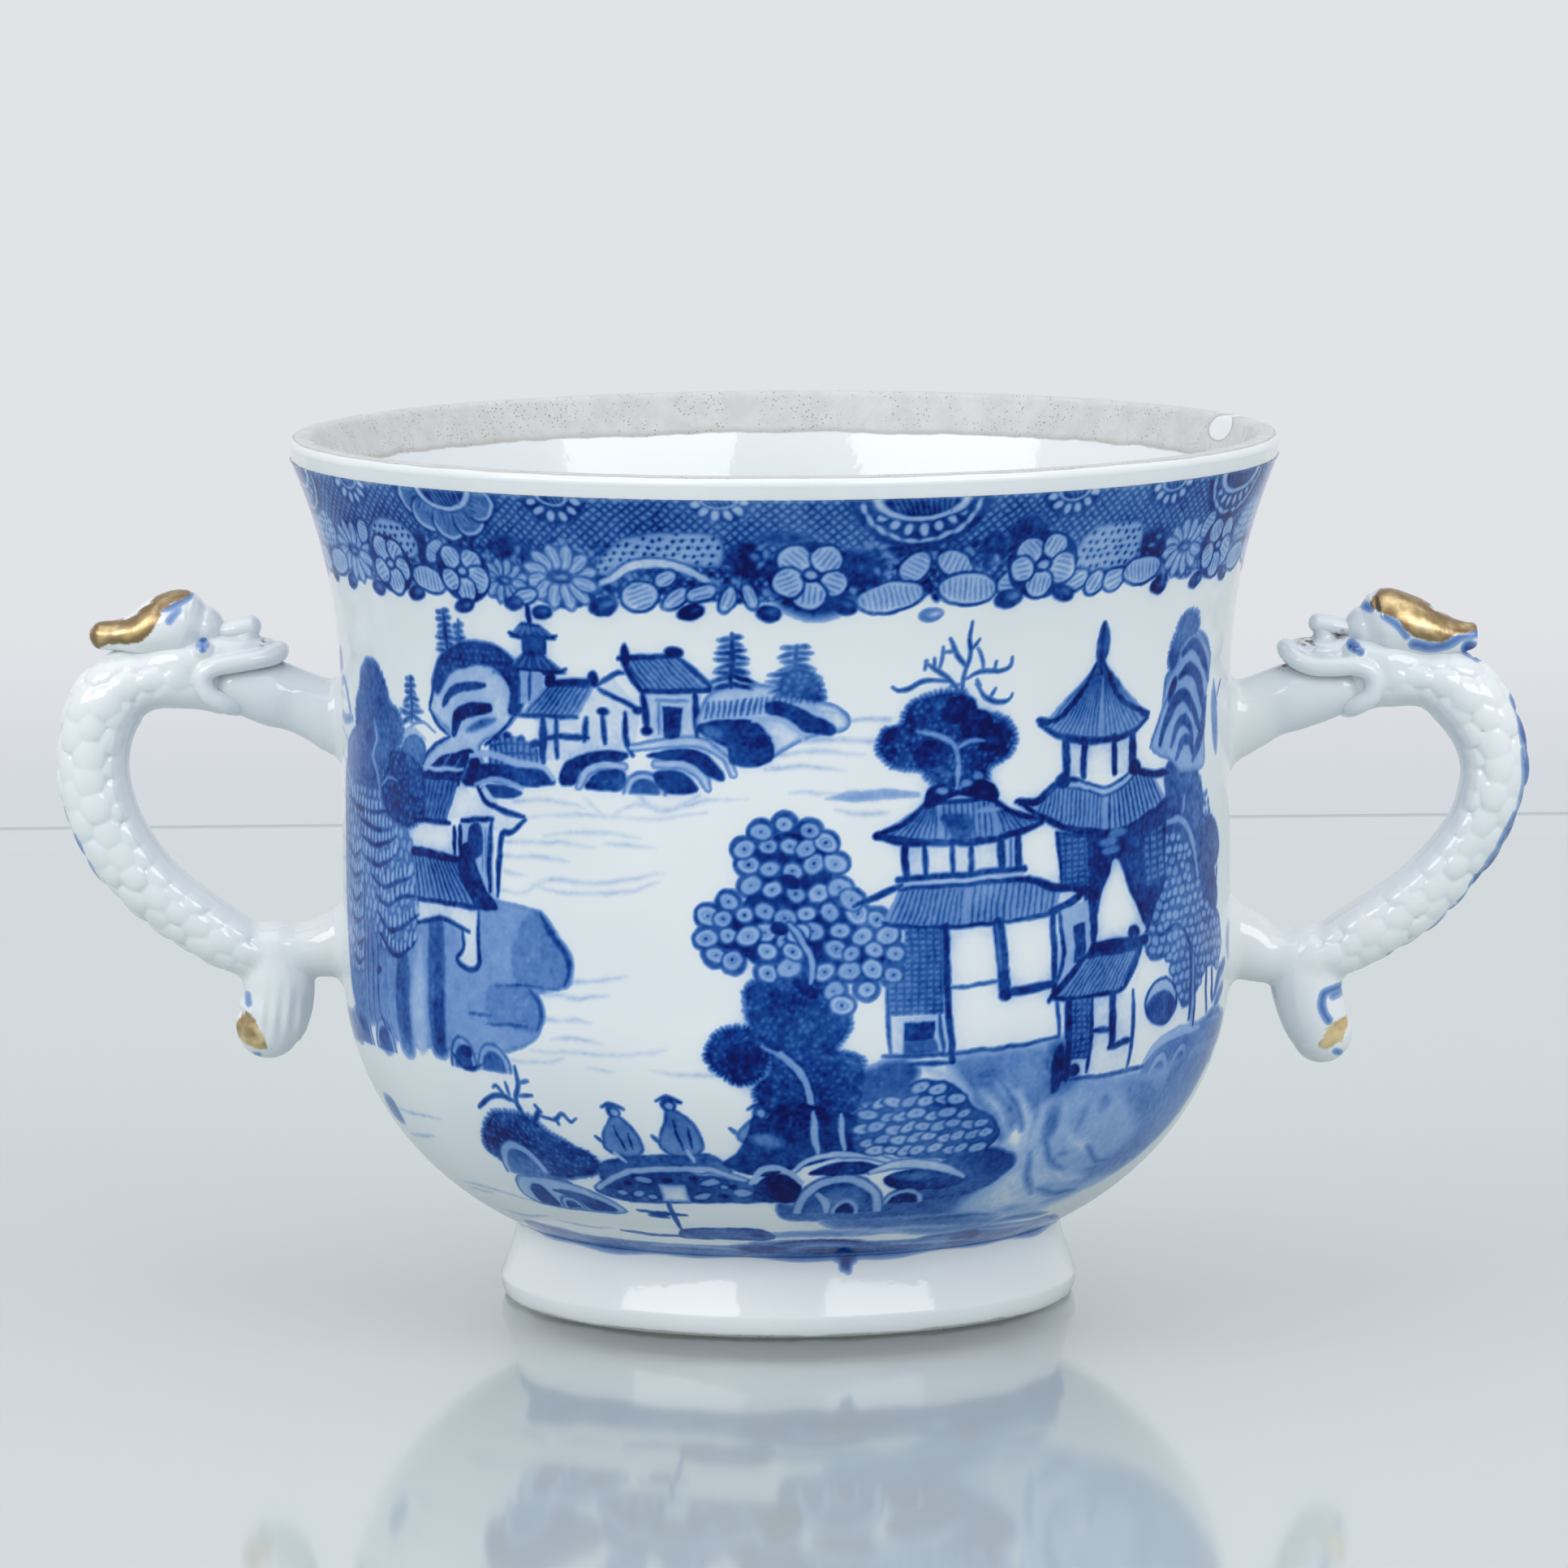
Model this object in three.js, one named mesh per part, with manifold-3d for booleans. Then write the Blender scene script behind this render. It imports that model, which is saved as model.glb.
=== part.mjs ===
// Two-handled chocolate cup in glazed porcelain: a bell-shaped bowl on a splayed foot ring, with two
// moulded dragons for handles. Each dragon bites a smooth arm that springs from the wall, and its
// scaled body runs round and down to a short second arm. The pieces are stuck together with slip
// before firing, so a thin seam is left wherever two of them meet.
// Millimetres, +Z up, +X through the right handle, origin at the centre of the ring the cup stands on.

import * as THREE from "three";
import { LoftGeometry } from "three/addons/geometries/LoftGeometry.js";
import { mergeVertices } from "three/addons/utils/BufferGeometryUtils.js";
import Module from "manifold-3d";

const wasm = await Module();
wasm.setup();

// Foot ring
const footHeight = 8.3; // table to the seat under the bowl
const footNeckRadius = 28.7; // where the ring meets the bowl
const footSplay = 1.8; // how far the ring spreads beyond its neck
const footSplayHeight = 2.2; // height of its widest place
const footToeRound = 0.9; // how far the rounded toe comes in again
const footToeWidth = 2.2; // ground ring that touches the table
const footWall = 3.6; // thickness at the seat

// Bowl
const bodyRadius = 46.85; // outside of the upright wall
const bellyHeight = 26.7; // seat to the top of the belly's curve
const bellyTuck = 3.3; // how far below the seat the curve would bottom out if it went on
const wallHeight = 27; // upright stretch above the belly
const flareHeight = 27; // curve out to the lip
const lipFlare = 5; // how far the lip stands beyond the wall
const flarePower = 2.3; // higher keeps the wall upright for longer
const lipRise = 2; // bead above the flare
const lipBead = 0.2; // how far the bead stands out
const lipRound = 0.8; // outer edge of the lip
const lipLand = 1.25; // flat unglazed top that a cover sat on
const lipBevel = 0.3; // inner edge of the lip
const wallThickness = 2.8;
const floorThickness = 3.8;
const underDome = 0.8; // rise of the underside inside the foot ring

// Handles
const slipGap = 0.3; // seam between pieces stuck together
const handleLift = 29.3; // seat of the bowl to the middle of the lower arm
const handleReach = 26.85; // wall to the middle of the dragon's body at its furthest
const handleRise = 28; // middle of the lower arm to the middle of the neck
const neckDepth = 6.2; // depths lie in the plane of the handle, widths across it
const shoulderDepth = 7.8;
const bendDepth = 6.4;
const loinDepth = 6.4;
const bodyWidth = 7.2;
const headDepth = 6.6;
const headWidth = 7.8;
const snoutDepth = 3.4;
const snoutWidth = 6;
const lipRollRadius = 0.95; // thick lip that runs round the mouth
const mouthWidth = 7; // across the middle of that lip
const crestDepth = 6.8;
const crestWidth = 7.8;
const crestTipDepth = 2.4;
const noseHeight = 3.6; // from inside the head to the top of the curl
const noseDepth = 2;
const noseWidth = 3.8;
const tailDepth = 7.6;
const tailWidth = 7.1;
const armRootDepth = 8.6; // upper arm at the wall
const armDepth = 6.2;
const armTipDepth = 4; // upper arm in the dragon's mouth
const armWidth = 6.2;
const lowerRootDepth = 8;
const lowerArmDepth = 5.6;
const lowerArmWidth = 6.2;
const scalePitch = 3; // row to row along the back
const scaleColumns = 8; // round the body
const scaleHeight = 0.4;
const bellyBand = 1; // half angle of the smooth belly, in radians

// Fineness of the surfaces
const turnSteps = 52;
const curveSteps = 5;
const limbSides = 14;
const scaleSides = scaleColumns * 3;
const limbStep = 1.5;
const scaleStep = scalePitch / 2.5;
const lipSteps = 30; // round the lip roll
const lipSides = 8;
const endFlat = 0.3; // size of the flat that closes a rounded end, as a share of the limb

const seatHeight = footHeight;
const bellyTop = seatHeight + bellyHeight;
const flareStart = bellyTop + wallHeight;
const lipHeight = flareStart + flareHeight + lipRise;
const lipRadius = bodyRadius + lipFlare + lipBead;
const lowerArmHeight = seatHeight + handleLift;
const bellyDepth = bellyHeight + bellyTuck;
const seatAngle = Math.asin(bellyHeight / bellyDepth);
const bellyReach = (bodyRadius - footNeckRadius) / (1 - Math.cos(seatAngle));

function arc(centreR, centreZ, radiusR, radiusZ, from, to, steps) {
  const points = [];
  for (let i = 0; i <= steps; i++) {
    const angle = from + ((to - from) * i) / steps;
    points.push(new THREE.Vector2(centreR + radiusR * Math.cos(angle), centreZ + radiusZ * Math.sin(angle)));
  }
  return points;
}

function flare(startR, spread, height, steps) {
  const points = [];
  for (let i = 0; i <= steps; i++) {
    const share = i / steps;
    points.push(new THREE.Vector2(startR + spread * share ** flarePower, flareStart + height * share));
  }
  return points;
}

// Turns an outline of radius and height about the cup's axis. The outline goes up on the outside.
function turned(outline) {
  return new THREE.LatheGeometry(outline, turnSteps).rotateX(Math.PI / 2);
}

// Outside of the bowl from its seat to the bead, moved outwards by a clearance.
function bowlOutside(clearance) {
  const belly = arc(
    bodyRadius - bellyReach,
    bellyTop,
    bellyReach + clearance,
    bellyDepth + clearance,
    -seatAngle,
    0,
    curveSteps,
  );
  return [...belly, ...flare(bodyRadius + clearance, lipFlare, flareHeight, curveSteps)];
}

// Inside of the bowl, from the bevel under the lip down to the middle of the floor.
function bowlInside() {
  const mouthRadius = lipRadius - lipRound - lipLand - lipBevel;
  const innerRadius = bodyRadius - wallThickness;
  const innerFlare = flare(innerRadius, mouthRadius - innerRadius, flareHeight + lipRise - lipBevel, curveSteps);
  const innerBelly = arc(
    bodyRadius - bellyReach,
    bellyTop,
    bellyReach - wallThickness,
    bellyHeight - floorThickness,
    0,
    -Math.PI / 2,
    curveSteps,
  );
  return [...innerFlare.reverse(), ...innerBelly, new THREE.Vector2(0, seatHeight + floorThickness)];
}

function bowlOutline() {
  const seatInner = footNeckRadius - footWall;
  const underside = arc(0, seatHeight, seatInner, underDome, Math.PI / 2, 0, 3);
  const lip = arc(lipRadius - lipRound, lipHeight - lipRound, lipRound, lipRound, 0, Math.PI / 2, 3);
  const land = new THREE.Vector2(lipRadius - lipRound - lipLand, lipHeight);
  return [...underside, ...bowlOutside(0), ...lip, land, ...bowlInside()];
}

// The ring's outside splays in a hollow curve from the neck and rounds in again to the toe.
function footOutline() {
  const splayRadius = footNeckRadius + footSplay;
  const toeRadius = splayRadius - footToeRound;
  const toe = arc(toeRadius, footSplayHeight, footToeRound, footSplayHeight, -Math.PI / 2, 0, 3);
  const hollow = new THREE.SplineCurve([
    new THREE.Vector2(splayRadius, footSplayHeight),
    new THREE.Vector2(footNeckRadius + footSplay * 0.62, (footSplayHeight + seatHeight) * 0.45),
    new THREE.Vector2(footNeckRadius + footSplay * 0.17, (footSplayHeight + seatHeight) * 0.64),
    new THREE.Vector2(footNeckRadius, seatHeight),
  ]).getPoints(6);
  const inner = new THREE.Vector2(footNeckRadius - footWall, seatHeight);
  const innerToe = new THREE.Vector2(toeRadius - footToeWidth, 0);
  return [...toe, ...hollow.slice(1), inner, innerToe, toe[0].clone()];
}

// A place on a limb's path, as shares of the handle's reach beyond the wall and of its rise above
// the lower arm, with the full depth and width of the section there.
function station(out, up, depth, width) {
  const point = new THREE.Vector3(bodyRadius + handleReach * out, 0, lowerArmHeight + handleRise * up);
  return { point, size: new THREE.Vector3(depth / 2, width / 2, 0) };
}

// Carries an oval section along the stations. Both ends are rounded over the lengths given, grow
// moves the whole surface outwards, and relief(along, angle) adds carving. Angle 0 is the belly.
function limb(stations, { rounds, grow = 0, step = limbStep, sides = limbSides, relief = () => 0 }) {
  const path = new THREE.CatmullRomCurve3(stations.map((s) => s.point), false, "catmullrom");
  const size = new THREE.CatmullRomCurve3(stations.map((s) => s.size), false, "catmullrom");
  path.arcLengthDivisions = 400;
  const length = path.getLength();
  const steps = Math.round(length / step);
  const across = new THREE.Vector3(0, 1, 0);
  const sections = [];
  for (let i = 0; i <= steps; i++) {
    const along = (length * i) / steps;
    const t = path.getUtoTmapping(i / steps);
    const centre = path.getPoint(t);
    const tangent = path.getTangent(t);
    const inward = new THREE.Vector3().crossVectors(across, tangent);
    const half = size.getPoint(t);
    const round = roundedEnd(along, rounds[0]) * roundedEnd(length - along, rounds[1]);
    if (i === 0) centre.addScaledVector(tangent, -grow);
    if (i === steps) centre.addScaledVector(tangent, grow);
    const ring = [];
    for (let j = 0; j < sides; j++) {
      const angle = (2 * Math.PI * j) / sides;
      const lift = grow + relief(along, angle);
      const ringPoint = centre.clone();
      ringPoint.addScaledVector(inward, (half.x * round + lift) * Math.cos(angle));
      ringPoint.addScaledVector(across, (half.y * round + lift) * Math.sin(angle));
      ring.push(ringPoint);
    }
    sections.push(ring);
  }
  return new LoftGeometry(sections, { capStart: true, capEnd: true });
}

function roundedEnd(distance, length) {
  if (distance >= length) return 1;
  const rest = 1 - Math.max(distance, 0) / length;
  return Math.max(endFlat, Math.sqrt(1 - rest * rest));
}

// Overlapping scales in staggered rows, fading out over the smooth belly and near both ends.
function scales(along, angle) {
  const fromBelly = Math.min(angle, 2 * Math.PI - angle);
  const sideFade = THREE.MathUtils.smoothstep(fromBelly, bellyBand * 0.6, bellyBand * 1.4);
  const row = Math.round(along / scalePitch);
  let dome = 0;
  for (const near of [row - 1, row, row + 1]) {
    const turn = (angle * scaleColumns) / (2 * Math.PI) - (near % 2 ? 0.5 : 0);
    const offColumn = turn - Math.round(turn);
    const offRow = along / scalePitch - near;
    dome = Math.max(dome, 1 - (offColumn / 0.62) ** 2 - (offRow / 0.72) ** 2);
  }
  return scaleHeight * sideFade * Math.sqrt(dome);
}

function solidOf(geometry) {
  const plain = new THREE.BufferGeometry().setIndex(geometry.index);
  plain.setAttribute("position", geometry.getAttribute("position"));
  const merged = mergeVertices(plain, 1e-4);
  const mesh = { numProp: 3, vertProperties: merged.attributes.position.array };
  return new wasm.Manifold(new wasm.Mesh({ ...mesh, triVerts: new Uint32Array(merged.index.array) }));
}

function geometryOf(solid) {
  const { vertProperties, triVerts } = solid.getMesh();
  const geometry = new THREE.BufferGeometry();
  geometry.setAttribute("position", new THREE.BufferAttribute(vertProperties, 3));
  geometry.setIndex(new THREE.BufferAttribute(triVerts, 1));
  geometry.computeVertexNormals();
  return geometry;
}

// The body runs from the corner of the mouth over the shoulder, round the bend and down to the tail.
function bodySolid(grow, relief) {
  const stations = [
    station(0.56, 0.97, neckDepth * 0.9, bodyWidth * 0.9),
    station(0.722, 1, neckDepth, bodyWidth),
    station(0.885, 0.935, shoulderDepth, bodyWidth * 1.08),
    station(0.99, 0.76, shoulderDepth * 0.94, bodyWidth * 1.06),
    station(1, 0.56, bendDepth * 1.04, bodyWidth),
    station(0.877, 0.315, loinDepth, bodyWidth * 0.97),
    station(0.672, 0.137, loinDepth * 1.03, bodyWidth * 0.97),
    station(0.455, 0.004, loinDepth * 1.04, bodyWidth * 0.95),
    station(0.315, -0.07, loinDepth, bodyWidth * 0.9),
  ];
  return solidOf(limb(stations, { rounds: [2, 3], grow, step: scaleStep, sides: scaleSides, relief }));
}

function headSolid(grow) {
  const stations = [
    station(0.722, 1.01, headDepth * 0.85, headWidth * 0.85),
    station(0.58, 1.055, headDepth, headWidth),
    station(0.447, 1.085, headDepth * 0.68, headWidth * 0.92),
    station(0.325, 1.09, snoutDepth, snoutWidth),
    station(0.219, 1.095, snoutDepth * 0.8, snoutWidth * 0.75),
  ];
  return solidOf(limb(stations, { rounds: [2, 1.4], grow }));
}

// The lip is one closed roll: over the snout, back along both cheeks, round the corners and under
// the chin.
function lipSolid() {
  const half = mouthWidth / 2;
  const cheek = [
    [0.249, 1.085, 0.7],
    [0.381, 1.05, 0.95],
    [0.508, 1.045, 1],
    [0.569, 0.985, 1],
    [0.549, 0.92, 0.95],
    [0.498, 0.875, 0.75],
  ].map(([out, up, side]) => station(out, up, 0, 0).point.setY(half * side));
  const otherCheek = cheek.map((p) => p.clone().setY(-p.y)).reverse();
  const snout = station(0.219, 1.09, 0, 0).point;
  const chin = station(0.458, 0.85, 0, 0).point;
  const loop = new THREE.CatmullRomCurve3([snout, ...cheek, chin, ...otherCheek], true);
  return solidOf(new THREE.TubeGeometry(loop, lipSteps, lipRollRadius, lipSides, true));
}

function tailSolid(grow) {
  const stations = [
    station(0.3, -0.04, tailDepth * 0.8, tailWidth * 0.85),
    station(0.3, -0.152, tailDepth * 0.98, tailWidth),
    station(0.315, -0.252, tailDepth, tailWidth),
    station(0.345, -0.347, tailDepth * 0.93, tailWidth * 0.94),
    station(0.375, -0.45, tailDepth * 0.75, tailWidth * 0.76),
  ];
  return solidOf(limb(stations, { rounds: [2, 3.2], grow }));
}

function upperArmSolid(grow) {
  const stations = [
    station(-0.14, 0.83, armRootDepth * 1.3, armWidth * 1.5),
    station(0.005, 0.845, armRootDepth, armWidth * 1.25),
    station(0.09, 0.882, armDepth * 1.04, armWidth * 1.03),
    station(0.203, 0.912, armDepth * 0.98, armWidth),
    station(0.386, 0.938, armTipDepth * 1.2, armWidth * 0.85),
    station(0.519, 0.955, armTipDepth, armWidth * 0.72),
  ];
  return solidOf(limb(stations, { rounds: [0.5, 1.2], grow }));
}

function lowerArmSolid() {
  const stations = [
    station(-0.14, -0.015, lowerRootDepth * 1.25, lowerArmWidth * 1.4),
    station(0.005, -0.01, lowerRootDepth, lowerArmWidth * 1.15),
    station(0.09, -0.03, lowerArmDepth * 1.04, lowerArmWidth),
    station(0.22, -0.058, lowerArmDepth, lowerArmWidth * 0.95),
    station(0.33, -0.06, lowerArmDepth * 0.9, lowerArmWidth * 0.9),
  ];
  return solidOf(limb(stations, { rounds: [0.5, 1] }));
}

// A station whose height is that of the underside of its section.
function seated(out, up, depth, width) {
  const place = station(out, up, depth, width);
  place.point.z += depth / 2;
  return place;
}

function crestSolid(grow) {
  const stations = [
    seated(0.493, 1.115, crestDepth * 0.4, crestWidth * 0.5),
    seated(0.559, 1.096, crestDepth * 0.88, crestWidth * 0.88),
    seated(0.641, 1.09, crestDepth, crestWidth),
    seated(0.742, 1.085, crestDepth * 0.85, crestWidth * 0.95),
    seated(0.839, 1.085, crestTipDepth * 1.6, crestWidth * 0.72),
    seated(0.915, 1.098, crestTipDepth * 1.2, crestWidth * 0.52),
    seated(0.971, 1.112, crestTipDepth, crestWidth * 0.36),
  ];
  return solidOf(limb(stations, { rounds: [1.6, 0.3], grow }));
}

// The nose is a short post with a curl on top that reaches back to the crest.
function noseSolid() {
  const root = 1.1;
  const top = root + (noseHeight - noseDepth / 2) / handleRise;
  const post = [
    station(0.361, root, noseDepth, noseWidth * 0.8),
    station(0.356, (root + top) / 2, noseDepth * 0.95, noseWidth * 0.75),
    station(0.351, top, noseDepth * 1.1, noseWidth * 0.9),
  ];
  const curl = [
    station(0.315, top, noseDepth, noseWidth * 0.9),
    station(0.391, top, noseDepth * 0.95, noseWidth),
    station(0.473, top, noseDepth * 0.85, noseWidth * 0.85),
  ];
  const fine = { step: 0.8, sides: 12 };
  return solidOf(limb(post, { rounds: [0.4, 0.6], ...fine })).add(
    solidOf(limb(curl, { rounds: [0.9, 0.6], ...fine })),
  );
}

// One handle's pieces. A neighbour grown by the seam is cut out of each piece that is pressed on
// to it.
function handleSolids() {
  const wall = solidOf(turned([new THREE.Vector2(0, 0), ...wallEnvelope(), new THREE.Vector2(0, lipHeight)]));
  const bodySpace = bodySolid(slipGap + scaleHeight);
  const headSpace = headSolid(slipGap);
  const body = bodySolid(0, scales);
  const dragon = body.add(headSolid(0)).add(lipSolid()).add(tailSolid(0));
  return {
    dragon: dragon.subtract(upperArmSolid(slipGap)),
    upper_arm: upperArmSolid(0).subtract(wall),
    lower_arm: lowerArmSolid().subtract(wall).subtract(bodySpace).subtract(tailSolid(slipGap)),
    crest: crestSolid(0).subtract(headSpace).subtract(bodySpace),
    nose_curl: noseSolid().subtract(headSpace).subtract(crestSolid(slipGap)),
  };
}

function wallEnvelope() {
  const outside = bowlOutside(slipGap);
  return [new THREE.Vector2(outside[0].x, 0), ...outside];
}

function piece(name, solid, material) {
  const mesh = new THREE.Mesh(geometryOf(solid), material);
  mesh.name = name;
  return mesh;
}

function glaze() {
  return new THREE.MeshStandardMaterial({ color: 0xdce4e8, roughness: 0.12, metalness: 0 });
}

function paintedGlaze() {
  return new THREE.MeshStandardMaterial({ color: 0xa9b7dc, roughness: 0.12, metalness: 0 });
}

function gilding() {
  return new THREE.MeshStandardMaterial({ color: 0xb38a45, roughness: 0.35, metalness: 0.9 });
}

function handle(side, solids, turn) {
  const group = new THREE.Group();
  group.rotation.z = turn;
  for (const [name, solid] of Object.entries(solids)) {
    group.add(piece(`${side}_${name}`, solid, name === "crest" ? gilding() : glaze()));
  }
  return group;
}

const handlePieces = handleSolids();
const cup = new THREE.Group();
cup.add(
  piece("bowl", solidOf(turned(bowlOutline())), paintedGlaze()),
  piece("foot_ring", solidOf(turned(footOutline())), glaze()),
  handle("right", handlePieces, 0),
  handle("left", handlePieces, Math.PI),
);

export default cup;
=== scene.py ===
"""A two-handled porcelain chocolate cup with dragon handles, dressed for the camera.

Lengths are millimetres until a mesh is made. +Z is up, +X runs through the right handle, and the camera
looks along +Y. The bowl's wall is painted in cobalt blue on a flat canvas of girth and height along the
profile, whose tones the wall's points take up. The handles are fields of distance that run together as wet
clay does. Points in a string are tenths of a millimetre.
"""

import math

import bpy
import numpy as np
from mathutils import Matrix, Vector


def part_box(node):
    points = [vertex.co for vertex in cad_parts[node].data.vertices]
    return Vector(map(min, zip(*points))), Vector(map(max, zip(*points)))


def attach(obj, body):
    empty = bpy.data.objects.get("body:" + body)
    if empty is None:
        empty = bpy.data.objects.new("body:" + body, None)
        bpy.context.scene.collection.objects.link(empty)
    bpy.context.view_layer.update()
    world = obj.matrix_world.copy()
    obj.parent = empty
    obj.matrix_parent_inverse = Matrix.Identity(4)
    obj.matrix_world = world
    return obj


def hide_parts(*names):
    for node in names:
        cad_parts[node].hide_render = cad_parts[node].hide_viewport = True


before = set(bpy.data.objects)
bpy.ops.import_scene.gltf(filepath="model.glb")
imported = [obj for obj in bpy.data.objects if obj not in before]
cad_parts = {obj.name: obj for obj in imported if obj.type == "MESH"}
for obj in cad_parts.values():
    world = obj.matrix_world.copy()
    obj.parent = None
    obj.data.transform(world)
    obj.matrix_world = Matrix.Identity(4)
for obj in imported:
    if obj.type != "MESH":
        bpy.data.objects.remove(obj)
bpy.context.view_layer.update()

MM = 0.001
PHOTO_PIXELS = 1932

# Camera, as fitted to the rim, the foot and the table's far edge in the photograph
CAMERA_DISTANCE = 1100.0
CAMERA_HEIGHT = 189.5
CAMERA_SIDE = -0.2
CAMERA_PITCH = 0.1225
CAMERA_ROLL = math.radians(0.3)
FOCAL_PIXELS = 12929.0
SENSOR_WIDTH = 36.0

# Table
TABLE_FAR_EDGE = 397.0
TABLE_TURN = math.radians(2.1)
TABLE_HALF_WIDTH = 1400.0
TABLE_NEAR_EDGE = -1500.0
TABLE_THICKNESS = 8.0

# Bowl and foot, from the solids
bowl_low, bowl_high = (np.array(corner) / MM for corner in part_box("bowl"))
LIP_RADIUS = bowl_high[0]
LIP_RISE = 0.4
LIP_HEIGHT = bowl_high[2] + LIP_RISE
SEAT_HEIGHT = bowl_low[2]
FOOT_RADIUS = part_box("foot_ring")[1][0] / MM
WALL_RADIUS = 46.85
BELLY_HEIGHT = 26.7
BELLY_TUCK = 3.3
WALL_HEIGHT = 27.0
FLARE_HEIGHT = 27.07
LIP_FLARE = 5.13
FLARE_POWER = 2.3
LIP_ROUND = 0.8
LIP_LAND = 1.25
LIP_BEVEL = 0.3
WALL_THICKNESS = 2.8
FLOOR_THICKNESS = 3.8
UNDER_DOME = 0.8
FOOT_NECK = 28.7
FOOT_WALL = 3.6
GLAZE_DEPTH = 0.1
BARE_BAND = 4.4
BARE_LIP = 0.45
SPLASH_ANGLE = 19
SPLASH_HALF_ANGLE = 3.4
SPLASH_DEPTH = 1.2
SPLASH_HALF_HEIGHT = 1.3
TAIL_GOLD_TOP = 40.0
TAIL_GOLD_LEFT = 0.8

BELLY_TOP = SEAT_HEIGHT + BELLY_HEIGHT
FLARE_START = BELLY_TOP + WALL_HEIGHT
BELLY_DEPTH = BELLY_HEIGHT + BELLY_TUCK
SEAT_ANGLE = math.asin(BELLY_HEIGHT / BELLY_DEPTH)
BELLY_REACH = (WALL_RADIUS - FOOT_NECK) / (1 - math.cos(SEAT_ANGLE))
BEAD_START = -math.atan(LIP_FLARE * FLARE_POWER / FLARE_HEIGHT)

# Fineness in millimetres, panels and steps of a turn
FRONT_GRID = 0.155
SIDE_GRID = 0.24
BACK_GRID = 0.34
PANELS = 12
CORE_TURNS = 240
FOOT_TURNS = 320
CANVAS_GRID = 0.1
CANVAS_HEIGHT = 91.3


def mesh_piece(name, points, corners, sizes, material, attributes=None):
    """An object of that name from points in millimetres and its faces' corners laid end to end."""
    mesh = bpy.data.meshes.new(name)
    mesh.vertices.add(len(points))
    mesh.vertices.foreach_set("co", (np.asarray(points) * MM).astype(np.float32).ravel())
    mesh.loops.add(len(corners))
    mesh.loops.foreach_set("vertex_index", np.asarray(corners, np.int32))
    mesh.polygons.add(len(sizes))
    starts = np.concatenate([[0], np.cumsum(sizes)[:-1]])
    mesh.polygons.foreach_set("loop_start", starts.astype(np.int32))
    mesh.update(calc_edges=True)
    mesh.polygons.foreach_set("use_smooth", np.ones(len(sizes), bool))
    mesh.materials.append(material)
    for key, values in (attributes or {}).items():
        layer = mesh.attributes.new(key, "FLOAT", "POINT")
        layer.data.foreach_set("value", np.asarray(values, np.float32))
    mesh.validate()
    piece = bpy.data.objects.new(name, mesh)
    bpy.context.scene.collection.objects.link(piece)
    return piece


def stands_for(piece, slot, *nodes):
    """The piece rides on the cup and shows in place of the nodes. The slot is not used."""
    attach(piece, "root")
    if nodes:
        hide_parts(*nodes)
    return piece


def belly_arc(reach, depth, start, end, steps):
    """Points of an ellipse round the belly's centre, between two angles."""
    angle = np.linspace(start, end, steps)
    radius = WALL_RADIUS - BELLY_REACH + reach * np.cos(angle)
    return np.stack([radius, BELLY_TOP + depth * np.sin(angle)], 1)


def flare_curve(radius, spread, height, steps):
    """Radius grows by spread times share to the flare's power, while the height grows evenly."""
    share = np.linspace(0, 1, steps)
    return np.stack([radius + spread * share**FLARE_POWER, FLARE_START + height * share], 1)


def outside_profile(steps=120):
    """Belly, upright wall and flare on the outside, from the seat up to the bead."""
    belly = belly_arc(BELLY_REACH, BELLY_DEPTH, -SEAT_ANGLE, 0, steps)
    return np.vstack([belly, flare_curve(WALL_RADIUS, LIP_FLARE, FLARE_HEIGHT, steps)])


def evenly(profile, spacing):
    """The profile's points again, evenly spaced along it, with their distances from its start."""
    run = np.concatenate([[0], np.cumsum(np.hypot(*np.diff(profile, axis=0).T))])
    along = np.linspace(0, run[-1], max(2, int(round(run[-1] / spacing)) + 1))
    points = np.stack([np.interp(along, run, profile[:, 0]), np.interp(along, run, profile[:, 1])], 1)
    return points, along


def outward_of(profile):
    """Unit directions square to a profile that runs upward on the outside."""
    slope = np.gradient(profile, axis=0)
    return np.stack([slope[:, 1], -slope[:, 0]], 1) / np.hypot(*slope.T)[:, None]


def core_profile():
    """The whole section of the bowl, from the middle of its underside round the lip to the floor.

    The wall stands back by the depth of the painted glaze, which its panels fill."""
    quarter = np.linspace(0, math.pi / 2, 10)
    inner_seat = FOOT_NECK - FOOT_WALL
    underside = np.stack([inner_seat * np.sin(quarter), SEAT_HEIGHT + UNDER_DOME * np.cos(quarter)], 1)
    wall = outside_profile(40)
    set_back = wall - outward_of(wall) * GLAZE_DEPTH
    set_back[0, 1] = SEAT_HEIGHT
    over = np.linspace(BEAD_START, math.pi / 2, 16)
    bead = np.stack([np.cos(over), np.sin(over)], 1) * LIP_ROUND
    bead = bead + [LIP_RADIUS - LIP_ROUND, LIP_HEIGHT - LIP_ROUND]
    land = np.array([[LIP_RADIUS - LIP_ROUND - LIP_LAND, LIP_HEIGHT]])
    mouth = land[0, 0] - LIP_BEVEL
    inner = WALL_RADIUS - WALL_THICKNESS
    inner_flare = flare_curve(inner, mouth - inner, LIP_HEIGHT - LIP_BEVEL - FLARE_START, 80)[::-1]
    inner_belly = belly_arc(
        BELLY_REACH - WALL_THICKNESS, BELLY_HEIGHT - FLOOR_THICKNESS, 0, -math.pi / 2, 80
    )
    middle = np.array([[0, SEAT_HEIGHT + FLOOR_THICKNESS]])
    parts = [underside, set_back, bead, land, inner_flare, inner_belly[1:], middle]
    return np.vstack(parts)


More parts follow.
